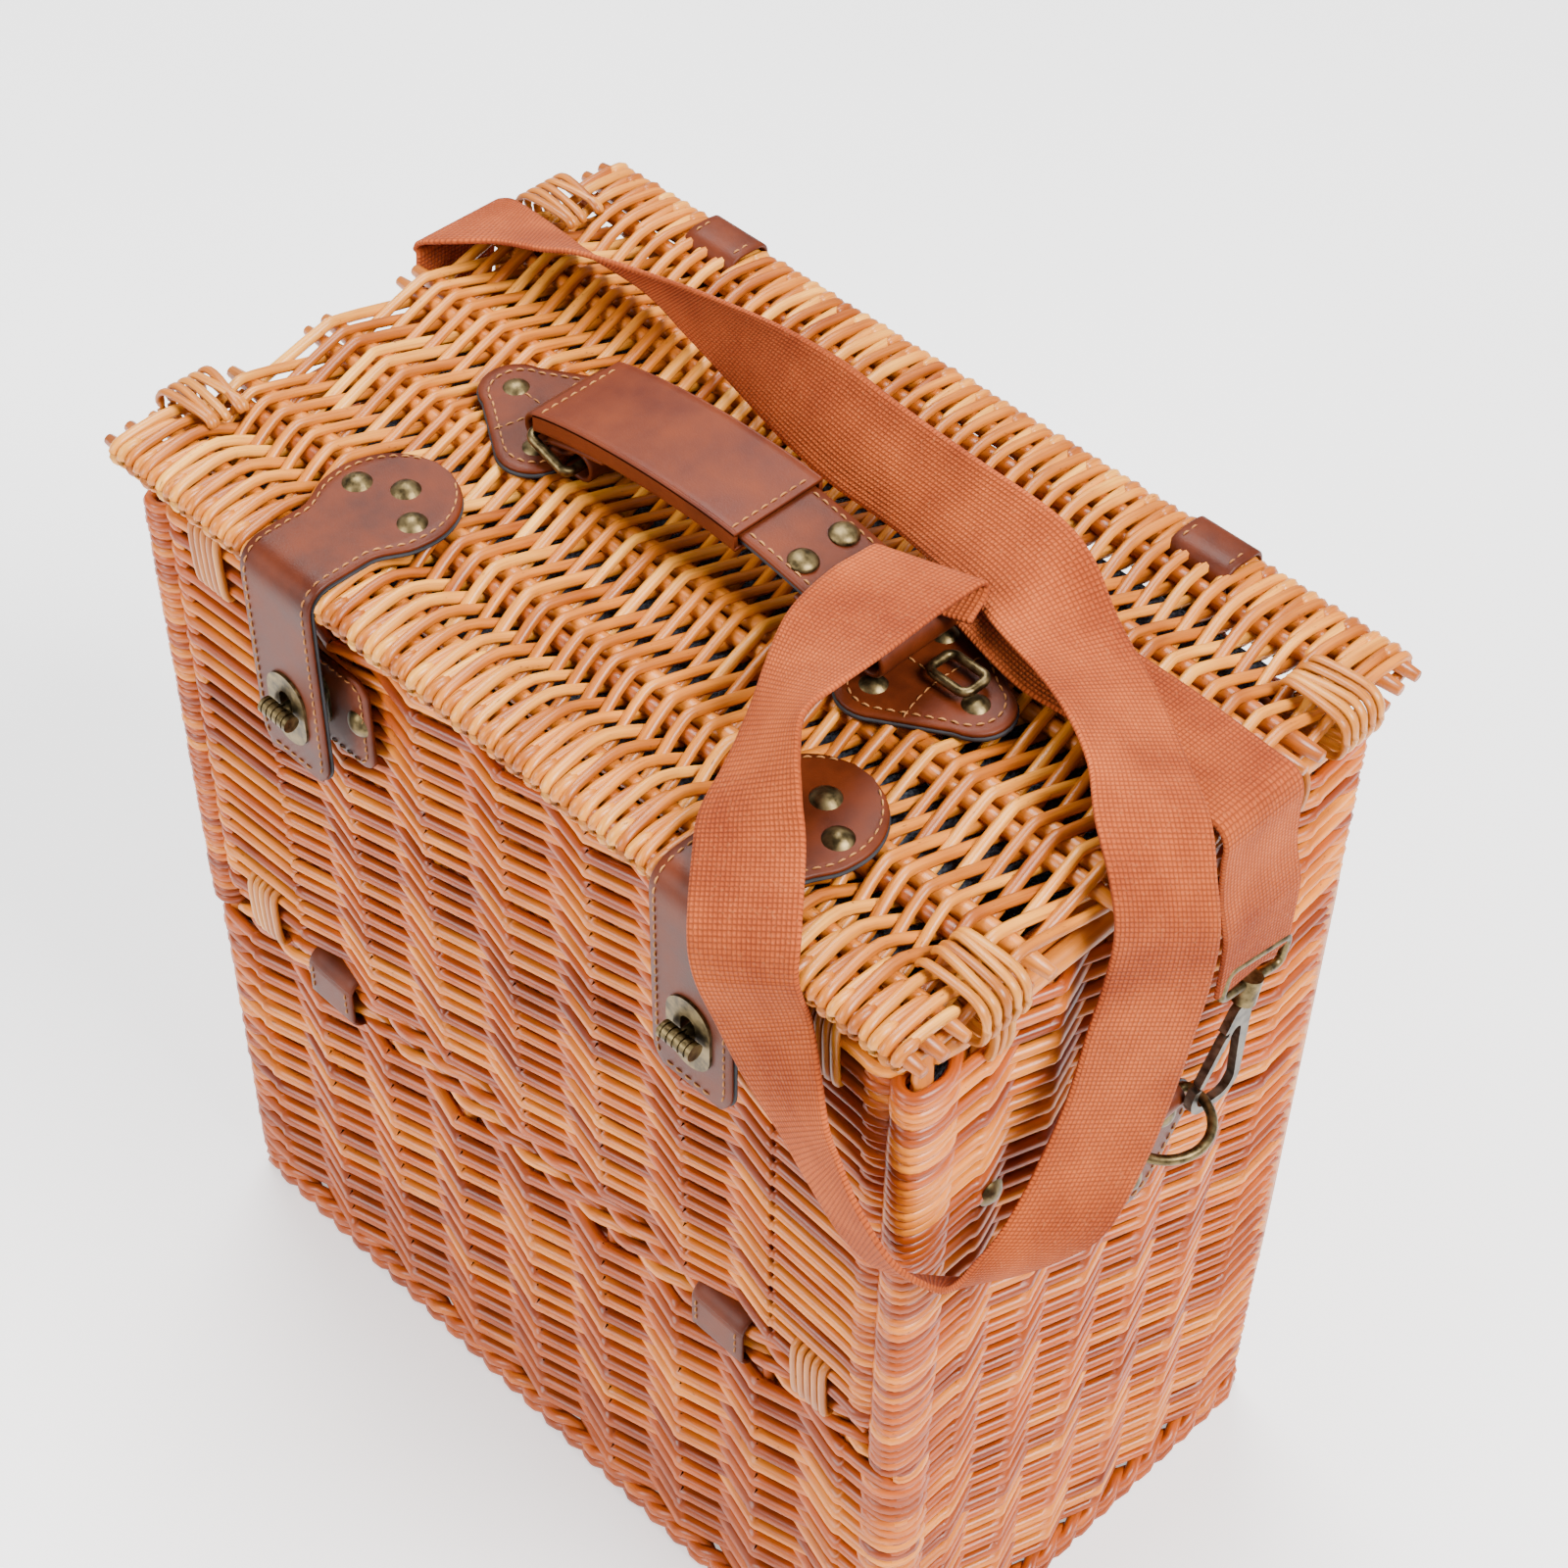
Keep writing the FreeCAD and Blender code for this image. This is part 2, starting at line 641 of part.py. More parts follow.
# ----------------------------------------------------------------- front panel
def lock_rivet_points(x):
    """Two rivets of one lock's leather backing."""
    y = -BODY_HALF_Y - LEATHER
    return [V(x - LOCK_RIVET_DX, y, LOCK_Z), V(x + LOCK_RIVET_DX, y, LOCK_Z)]


def lock_parts(x):
    """Leather backing, metal base with its boss, and the turning knob of one lock."""
    face = -BODY_HALF_Y
    lobe_r = PATCH_HALF_H
    spread = PATCH_HALF_W - lobe_r
    out = Y_AXIS * -LEATHER
    backing = belt(V(x - spread, face, LOCK_Z), lobe_r, V(x + spread, face, LOCK_Z),
                   lobe_r - NUDGE, out)
    bores = rivet_bores(lock_rivet_points(x), Y_AXIS * -1, SHANK)
    backing = cut(backing, bores)

    seat = face - LEATHER
    low, high = V(x, seat, LOCK_Z - LOCK_PLATE_RISE), V(x, seat, LOCK_Z + LOCK_PLATE_RISE)
    plate = belt(low, LOCK_PLATE_R, high, LOCK_PLATE_R - NUDGE, Y_AXIS * -LOCK_PLATE_T)
    boss = Part.makeCylinder(BOSS_R, BOSS_H, V(x, seat, LOCK_Z), Y_AXIS * -1)
    foot = seat - STEM_SEAT
    bore = Part.makeCylinder(STEM_R + TURN_GAP, BOSS_H, V(x, foot + 0.1, LOCK_Z), Y_AXIS * -1)
    base = fuse([plate, boss]).cut(bore)

    stem = Part.makeCylinder(STEM_R, foot - KNOB_Y, V(x, foot, LOCK_Z), Y_AXIS * -1)
    half = KNOB_LEN / 2
    barrel = rod(V(x - half, KNOB_Y, LOCK_Z), V(x + half, KNOB_Y, LOCK_Z), KNOB_R)
    grooves = []
    for k in range(KNOB_GROOVES):
        step = k - (KNOB_GROOVES - 1) / 2
        start = V(x + step * GROOVE_PITCH - GROOVE_W / 2, KNOB_Y, LOCK_Z)
        disc = Part.makeCylinder(KNOB_R + 1, GROOVE_W, start, X_AXIS)
        core = Part.makeCylinder(KNOB_R - GROOVE_DEPTH, GROOVE_W, start, X_AXIS)
        grooves.append(disc.cut(core))
    knob = cut(fuse([stem, barrel]), grooves)
    rivets = [rivet(p, Y_AXIS * -1, SHANK) for p in lock_rivet_points(x)]
    return backing, base, knob, rivets


def panel_lashing(x, z):
    """Split-willow binding at a corner of the front panel, outside its face."""
    half_x, half_z = PANEL_LASH_HALF
    face = -BODY_HALF_Y
    return box(x - half_x, x + half_x, face - PANEL_LASH_T, face, z - half_z, z + half_z)


def build_panel():
    """Drop-down front panel with frame rods, bindings, lining, loops and locks."""
    bottom = SILL_Z + PANEL_PITCH
    inner_x = PANEL_HALF_X - 2 * ROD_R
    weave = box(-inner_x, inner_x, -BODY_HALF_Y, -IN_Y, bottom + ROD_R, PANEL_TOP_Z - ROD_R)
    loop_room = front_notches(bottom, LOOP_OUT_R + RUN_GAP)
    bores = []
    for x in LOCK_X:
        bores += rivet_bores(lock_rivet_points(x), Y_AXIS * -1, SHANK)
    save("panel_weave", cut(weave, loop_room + bores))

    y = FRONT_ROD_Y
    rods = [
        rod(V(-inner_x, y, z), V(inner_x, y, z), ROD_R)
        for z in (bottom, PANEL_TOP_Z)
    ]
    for side in SIDES:
        x = side * (PANEL_HALF_X - ROD_R)
        rods.append(rod(V(x, y, bottom - ROD_R), V(x, y, PANEL_TOP_Z + ROD_R), ROD_R))
    save("panel_frame_rods", rods)

    in_x, in_z = PANEL_LASH_IN
    lashings = []
    for side in SIDES:
        for z in (bottom + in_z, PANEL_TOP_Z - in_z):
            lashings.append(panel_lashing(side * (inner_x - in_x), z))
    save("panel_lashings", lashings)
    lining_x = inner_x - PANEL_LINING_IN
    lining_y = -IN_Y + SKIN
    save("panel_lining", box(-lining_x, lining_x, lining_y, lining_y + LINING_T,
                             bottom + PANEL_LINING_UP, PANEL_TOP_Z - PANEL_LINING_DOWN))

    loops = []
    for x in FRONT_LOOP_X:
        low = V(x - LOOP_W / 2, y, SILL_Z)
        high = V(x - LOOP_W / 2, y, bottom)
        width = X_AXIS * LOOP_W
        outer = belt(low, LOOP_OUT_R, high, LOOP_OUT_R - NUDGE, width)
        loops.append(outer.cut(belt(low, LOOP_IN_R, high, LOOP_IN_R - NUDGE, width)))
    save("front_hinge_loops", loops)

    backings, bases, rivets = [], [], []
    for x, name in zip(LOCK_X, ("left", "right")):
        backing, base, knob, pair = lock_parts(x)
        backings.append(backing)
        bases.append(base)
        rivets += pair
        save("turn_knob_" + name, knob)
    save("lock_backings", backings)
    save("lock_bases", bases)
    save("lock_rivets", rivets)


# ---------------------------------------------------------------------- handle
def handle_patch(side):
    """Three-lobed leather patch with a rolled tab that holds the handle ring."""
    flat = [V(p.x, p.y, LID_Z1) for p in patch_rivet_points(side)]
    up = Z_AXIS * PATCH_T
    plate = fuse([
        belt(flat[0], LOBE_R, flat[1], LOBE_R - NUDGE, up),
        belt(flat[1], LOBE_R, flat[2], LOBE_R - NUDGE, up),
        belt(flat[2], LOBE_R, flat[0], LOBE_R - NUDGE, up),
    ])
    x0, x1 = sorted((side * TAB_X, side * INNER_RIVET_X))
    y0, y1 = HANDLE_Y - TAB_HALF_W, HANDLE_Y + TAB_HALF_W
    neck = box(x0, x1, y0, y1, LID_Z1, LID_Z1 + PATCH_T)
    width = Y_AXIS * (2 * TAB_HALF_W)

    def roll(radius):
        a = V(side * TAB_X - TAB_SLACK, y0, TAB_Z)
        b = V(side * TAB_X + TAB_SLACK, y0, TAB_Z)
        return belt(a, radius, b, radius - NUDGE, width)

    skirt = box(side * TAB_X - SKIRT_HALF, side * TAB_X + SKIRT_HALF, y0, y1, LID_Z1,
                TAB_Z - ROLL_DROP)
    patch = cut(fuse([plate, neck, skirt, roll(TAB_R)]), [roll(WIRE_R + RUN_GAP)])
    return cut(patch, rivet_bores(patch_rivet_points(side), Z_AXIS, PATCH_T + LID_SHANK))


def ring_end(side):
    """Centre of the handle's end bar at one side."""
    return V(side * (TAB_X + RING_REACH_X), HANDLE_Y, TAB_Z + RING_RISE)


def handle_ring(side):
    """Rectangular wire ring from the tab out to the handle's end."""
    tab = V(side * TAB_X, HANDLE_Y, TAB_Z)
    end = ring_end(side)
    half = Y_AXIS * RING_HALF_W
    return wire_loop([tab - half, end - half, end + half, tab + half], WIRE_BEND, WIRE_R)


def handle_half(side, sleeve_len):
    """One half of the grip strap and of its sleeve, from the ring to the crown."""
    end = ring_end(side)
    crown = V(0, HANDLE_Y, CROWN_Z)
    run = (crown - end).normalize()
    up = V(-run.z, 0, run.x)
    if up.z < 0:
        up = up * -1
    gap = SKIN / 2

    def slab(near, far, low, high, half_w):
        y = Y_AXIS * half_w
        a = crown - run * far - y
        b = crown - run * near - y
        return prism([a + up * low, b + up * low, b + up * high, a + up * high], y * 2)

    length = (crown - end).Length
    start = end - Y_AXIS * GRIP_HALF_W
    knuckle = Part.makeCylinder(END_LOOP_R, 2 * GRIP_HALF_W, start, Y_AXIS)
    bore = Part.makeCylinder(WIRE_R + RUN_GAP, 2 * GRIP_HALF_W, start, Y_AXIS)
    strap = fuse([slab(gap, length, 0, GRIP_T, GRIP_HALF_W), knuckle]).cut(bore)
    points = []
    if side > 0:
        for dy in (-GRIP_RIVET_DY, GRIP_RIVET_DY):
            seat = crown - run * GRIP_RIVET_X + up * GRIP_T
            points.append(V(seat.x, seat.y + dy, seat.z))
        strap = cut(strap, rivet_bores(points, up, GRIP_T - 1))
    outer = slab(gap, sleeve_len, -SLEEVE_T, GRIP_T + SLEEVE_T, SLEEVE_HALF_W)
    sleeve = outer.cut(slab(0, sleeve_len + 1, 0, GRIP_T, GRIP_HALF_W))
    sleeve = sleeve.cut(slab(-1, FOLD_ROOM, -SLEEVE_T - 1, 0, SLEEVE_HALF_W + 1))
    return strap, sleeve, [rivet(p, up, GRIP_T - 1) for p in points]


def build_handle():
    """Patches on the lid, rings, and the grip in two halves that meet at the crown."""
    save("handle_patches", [handle_patch(side) for side in SIDES])
    rivets = []
    for side in SIDES:
        rivets += [rivet(p, Z_AXIS, PATCH_T + LID_SHANK) for p in patch_rivet_points(side)]
    save("handle_patch_rivets", rivets)
    for side, name, length in ((-1, "left", SLEEVE_LEFT), (1, "right", SLEEVE_RIGHT)):
        save("handle_ring_" + name, handle_ring(side))
        strap, sleeve, pins = handle_half(side, length)
        save("handle_strap_" + name, strap)
        save("handle_sleeve_" + name, sleeve)
        if pins:
            save("handle_end_rivets", pins)


# ----------------------------------------------------- snap hooks, shoulder strap
def hook_x(side):
    """X of the plane of a hook plate."""
    return side * (SIDE_TAB_X + HOOK_OUT)


def lean_pivot(side):
    """Where a hook hangs on the rear leg of its D ring."""
    return V(hook_x(side), RING_Y + D_RADIUS, SIDE_TAB_Z)


def lean(side, shape):
    """Tip a piece of the hook back about its hanging point."""
    tipped = shape.copy()
    tipped.rotate(lean_pivot(side), X_AXIS, -HOOK_LEAN)
    return tipped


def snap_hook(side):
    """Swivelling snap hook round the rear leg of a D ring, and its gate."""
    x = hook_x(side) - HOOK_T / 2
    deep = X_AXIS * HOOK_T
    jaw = V(x, RING_Y + D_RADIUS, SIDE_TAB_Z) + JAW_OFF
    heel = V(x, HOOK_Y + HEEL_OFF_Y, jaw.z)
    neck = V(x, HOOK_Y, EYE_Z - NECK_DROP)
    peak = V(x, HOOK_Y - SKIN, EYE_Z - PEAK_DROP)

    def frame(top, low_r, top_r):
        return fuse([belt(jaw, low_r, top, top_r, deep), belt(heel, low_r, top, top_r, deep),
                     belt(jaw, low_r, heel, low_r - NUDGE, deep)])

    outer = frame(neck, *HOOK_OUTER_R)
    inner = frame(peak, *HOOK_INNER_R)
    gate_low, gate_high = jaw.z + 3.5, peak.z + 1.0
    mouth = box(x - 1, x + HOOK_T + 1, jaw.y - 12, HOOK_Y - 4.5, gate_low, gate_high)
    body = cut(outer, [inner, mouth])
    foot = V(hook_x(side), HOOK_Y, EYE_Z - 10.5)
    body = fuse([body, rod(foot, foot + Z_AXIS * 7.5, HOOK_STEM_R)])

    hinge = V(x, HOOK_Y - 4.6, gate_high - 3.2)
    tip = V(x, jaw.y - 5.2, gate_low + 1.9)
    hinge_r, tip_r = GATE_R
    gate = belt(hinge, hinge_r, tip, tip_r, deep)
    room = belt(hinge - X_AXIS, hinge_r + RUN_GAP, tip - X_AXIS, tip_r + RUN_GAP,
                deep + X_AXIS * 2)
    return body.cut(room), gate


def hook_eye(side):
    """Wire eye that carries the webbing, with the barrel the hook swivels in."""
    x = hook_x(side)
    low, high = EYE_Z, EYE_Z + EYE_RISE
    frame = wire_loop([
        V(x, HOOK_Y - EYE_HALF_W, low),
        V(x, HOOK_Y + EYE_HALF_W, low),
        V(x, HOOK_Y + EYE_HALF_W, high),
        V(x, HOOK_Y - EYE_HALF_W, high),
    ], WIRE_BEND, EYE_WIRE_R)
    barrel = rod(V(x, HOOK_Y, EYE_Z - 8.0), V(x, HOOK_Y, EYE_Z + 2.4), BARREL_R)
    socket = rod(V(x, HOOK_Y, EYE_Z - 9.0), V(x, HOOK_Y, EYE_Z - 2.6), HOOK_STEM_R + TURN_GAP)
    return fuse([frame, barrel]).cut(socket)


def lean_point(side, y, z):
    """A point of the leaning hook, given by where it would be with the hook upright."""
    pivot = lean_pivot(side)
    rel = FreeCAD.Rotation(X_AXIS, -HOOK_LEAN).multVec(V(hook_x(side), y, z) - pivot)
    return pivot + rel


def strap_drop(side, top_y):
    """Webbing from the lid's side edge down to a hook's eye, sewn round it in a tab."""
    x = hook_x(side)
    z_bar = EYE_Z + EYE_RISE
    half_y = EYE_HALF_W - 2.2
    tab = box(x - SEW_HALF_T, x + SEW_HALF_T, HOOK_Y - half_y, HOOK_Y + half_y,
              z_bar - 3.4, z_bar + 10.0)
    bar = rod(V(x, HOOK_Y - EYE_HALF_W, z_bar), V(x, HOOK_Y + EYE_HALF_W, z_bar),
              EYE_WIRE_R + RUN_GAP)
    tab = lean(side, tab.cut(bar))
    half = Y_AXIS * WEB_HALF_W
    thick = X_AXIS * WEB_T
    back = X_AXIS * (WEB_T / 2)
    foot = lean_point(side, HOOK_Y, z_bar + 10.4)
    drop = ribbon([
        (foot + Z_AXIS * 2.0 - back, half * 0.72, thick),
        (foot + V(0, 1.0, 12.0) - back, half, thick),
        (V(side * 193.0, top_y + 2.0, LID_Z1 - 20.0) - back, half, thick),
        (V(side * 193.5, top_y, LID_Z1 - 0.6) - back, half, thick),
    ])
    return [tab, drop]


def build_strap():
    """Snap hooks, eyes, and the webbing as it lies over the lid and past the corner."""
    eyes = []
    for side, name, top_y in ((-1, "left", LEFT_DROP_Y), (1, "right", RIGHT_DROP_Y)):
        body, gate = snap_hook(side)
        save("hook_body_" + name, lean(side, body))
        save("hook_gate_" + name, lean(side, gate))
        eyes.append(lean(side, hook_eye(side)))
        save("strap_drop_" + name, strap_drop(side, top_y))
    save("hook_eyes", eyes)

    save("strap_back_run", web(BACK_RUN))
    save("strap_outer_run", web(OUTER_RUN))
    save("strap_fold_run", web(FOLD_RUN))
    save("strap_hanging_loop", web(HANGING_LOOP))
    (x0, x1), (y0, y1), z = SLIDE_X, SLIDE_Y, LID_Z1 + SLIDE_RISE
    corners = [V(x0, y0, z), V(x1, y0, z), V(x1, y1, z), V(x0, y1, z)]
    save("strap_slide", wire_loop(corners, WIRE_BEND, EYE_WIRE_R))


# The webbing's course: each point is (centre of the webbing, direction across it).
# From the left hook over the lid it rolls half a turn behind the handle.
BACK_RUN = [
    ((-193.5, 45.5, 409.0), (0, -1, 0)),
    ((-172, 51.5, 414), (0.48, -0.83, 0.27)),
    ((-150, 52.5, 418), (0.55, -0.70, 0.45)),
    ((-133, 53.5, 421), (0.57, -0.57, 0.59)),
    ((-99.5, 56, 424), (0.66, -0.35, 0.66)),
    ((-72, 55, 425), (0.62, -0.08, 0.75)),
    ((-44, 52, 426), (0.45, 0.15, 0.88)),
    ((-16, 49, 426), (0.33, 0.36, 0.87)),
    ((11, 46.5, 425), (0.33, 0.46, 0.82)),
    ((48, 43, 427), (0.40, 0.50, 0.77)),
    ((88, 36, 430), (0.35, 0.80, 0.45)),
    ((114, 28, 424), (0.25, 0.95, -0.10)),
    ((140, 18, 421.5), (0.36, 0.87, -0.33)),
    ((162, 5.5, 420.5), (0.33, 0.86, -0.38)),
    ((180, -8, 418.5), (0.47, 0.83, -0.27)),
    ((193, -17, 409), (0.38, 0.85, -0.35)),
]

# Down the right side, round under the front corner, up and over the lid's front edge.
HANGING_LOOP = [
    ((194.5, -18, 406), (0.38, 0.85, -0.35)),
    ((200, -21, 394), (0.38, 0.85, -0.37)),
    ((201, -24, 375), (0.41, 0.84, -0.33)),
    ((202, -30, 358), (0.43, 0.83, -0.33)),
    ((203, -38, 333), (0.42, 0.84, -0.35)),
    ((205, -52, 312), (0.45, 0.85, -0.28)),
    ((207, -67, 300), (0.46, 0.82, -0.34)),
    ((206, -79, 297), (0.30, 0.82, -0.50)),
    ((203, -97, 299), (-0.10, 0.70, -0.70)),
    ((197, -110, 304), (-0.40, 0.50, -0.77)),
    ((188, -122, 316), (-0.42, 0.35, -0.84)),
    ((176, -126, 330), (-0.34, 0.22, -0.92)),
    ((165, -126, 343), (-0.43, 0.16, -0.89)),
    ((156, -126, 355), (-0.63, 0.14, -0.77)),
    ((144, -123, 366), (-0.76, -0.05, -0.65)),
    ((134, -121, 381), (-0.80, -0.23, -0.56)),
    ((129.5, -124, 399), (-0.86, -0.28, -0.44)),
    ((124, -119.5, 412), (-0.85, -0.38, -0.36)),
]

# Up the lid from its front edge and over the right end of the handle.
FOLD_RUN = [
    ((122.5, -117, 415.5), (-0.85, -0.38, -0.36)),
    ((108, -102, 420), (-0.85, -0.37, -0.38)),
    ((99.5, -93, 426), (-0.81, -0.28, -0.52)),
    ((93, -82, 433), (-0.76, -0.03, -0.65)),
    ((86, -68, 437), (-0.70, 0.25, -0.66)),
    ((80, -52, 438), (-0.75, 0.50, -0.42)),
    ((77, -38, 439), (-0.80, 0.58, -0.14)),
    ((72, -19, 436.5), (-0.88, 0.46, -0.03)),
    ((71, -4, 434.5), (-0.95, 0.31, 0.02)),
    ((73, 8, 433), (-0.90, 0.43, 0.0)),
]

# On from the handle under the back run to the lid's right edge.
OUTER_RUN = [
    ((88, 25.5, 417.5), (-0.50, 0.86, 0.0)),
    ((100, 29.5, 412.2), (-0.2, 0.98, 0.0)),
    ((118, 31, 409.6), (0, 1, 0)),
    ((150, 31, 409.4), (0, 1, 0)),
    ((180, 29, 409.4), (0, 1, 0)),
    ((192, 29, 408.6), (0, 1, 0)),
]

os.makedirs("parts", exist_ok=True)
build_body()
build_body_lining()
build_side_rings()
build_lid()
build_closures()
build_panel()
build_handle()
build_strap()
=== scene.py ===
import math
import bpy
import numpy as np
from mathutils import Matrix, Vector


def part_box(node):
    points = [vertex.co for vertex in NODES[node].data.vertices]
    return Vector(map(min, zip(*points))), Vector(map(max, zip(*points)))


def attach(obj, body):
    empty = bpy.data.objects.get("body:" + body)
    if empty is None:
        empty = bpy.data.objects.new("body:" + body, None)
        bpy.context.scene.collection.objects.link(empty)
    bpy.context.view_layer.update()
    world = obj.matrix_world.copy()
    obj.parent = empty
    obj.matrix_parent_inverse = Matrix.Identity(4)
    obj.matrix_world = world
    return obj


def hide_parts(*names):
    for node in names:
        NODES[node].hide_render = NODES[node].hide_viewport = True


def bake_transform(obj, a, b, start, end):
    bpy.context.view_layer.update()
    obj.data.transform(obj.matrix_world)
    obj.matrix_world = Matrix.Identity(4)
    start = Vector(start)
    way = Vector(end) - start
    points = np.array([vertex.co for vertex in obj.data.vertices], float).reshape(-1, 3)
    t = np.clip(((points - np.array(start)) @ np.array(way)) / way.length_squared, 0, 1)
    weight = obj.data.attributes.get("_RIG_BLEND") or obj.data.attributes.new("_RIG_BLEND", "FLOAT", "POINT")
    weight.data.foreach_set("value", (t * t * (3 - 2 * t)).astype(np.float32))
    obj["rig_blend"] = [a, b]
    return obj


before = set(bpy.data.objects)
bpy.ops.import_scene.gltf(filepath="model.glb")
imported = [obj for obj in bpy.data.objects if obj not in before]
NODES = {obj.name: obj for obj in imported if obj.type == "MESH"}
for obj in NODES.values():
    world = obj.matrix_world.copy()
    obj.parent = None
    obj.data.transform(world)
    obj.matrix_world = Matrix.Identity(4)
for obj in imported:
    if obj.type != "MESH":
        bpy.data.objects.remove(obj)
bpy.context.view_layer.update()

# The willow hamper's looks: every weaver, rod, binding, strap and stitch is modelled
# round the CAD frame. Lengths below are millimetres until a mesh is made.

MM = 0.001
RNG = np.random.default_rng(11)
GRAIN_SPREAD = 900
UP = (0.0, 0.0, 1.0)
ALONG_X = (1.0, 0.0, 0.0)
ALONG_Y = (0.0, 1.0, 0.0)
SIDES = (-1, 1)


def span(node):
    """Lowest and highest corner of a CAD node in millimetres."""
    low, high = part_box(node)
    return np.array(low) / MM, np.array(high) / MM


LID_LOW, LID_HIGH = span("lid_weave")
ROD_LOW, ROD_HIGH = span("lid_rods")
BACK_LOW, BACK_HIGH = span("back_wall")
RIGHT_LOW, RIGHT_HIGH = span("right_wall")
FRONT_LOW, FRONT_HIGH = span("front_lower_wall")
PANEL_LOW, PANEL_HIGH = span("panel_weave")
FRAME_LOW, FRAME_HIGH = span("panel_frame_rods")
SILL_LOW, SILL_HIGH = span("sill_rod")
RIM_LOW, RIM_HIGH = span("rim_rods")
WALL_X = (RIGHT_LOW[0] + RIGHT_HIGH[0]) / 2
WALL_Y = (BACK_LOW[1] + BACK_HIGH[1]) / 2
LID_Z = (LID_LOW[2] + LID_HIGH[2]) / 2
LID_TOP = LID_HIGH[2]


# ------------------------------------------------------------------ mesh building
def between(values, places):
    """Values read off, by straight lines, at fractional places along their first axis."""
    values = np.asarray(values, float)
    low = np.minimum(np.floor(places).astype(int), len(values) - 2)
    share = np.asarray(places, float) - low
    share = share.reshape((-1,) + (1,) * (values.ndim - 1))
    return values[low] * (1 - share) + values[low + 1] * share


def headings(path):
    """Unit directions along a path."""
    ahead = np.gradient(np.asarray(path, float), axis=0)
    return ahead / (np.linalg.norm(ahead, axis=1)[:, None] + 1e-9)


def lengths(path):
    """Distance run along a path at each of its points."""
    steps = np.linalg.norm(np.diff(path, axis=0), axis=1)
    return np.concatenate([[0], np.cumsum(steps)])


def arc(x, y, radius, start, end, count):
    """Points on a flat arc, between two angles in degrees."""
    turn = [math.radians(a) for a in np.linspace(start, end, count)]
    return [(x + radius * math.cos(a), y + radius * math.sin(a)) for a in turn]


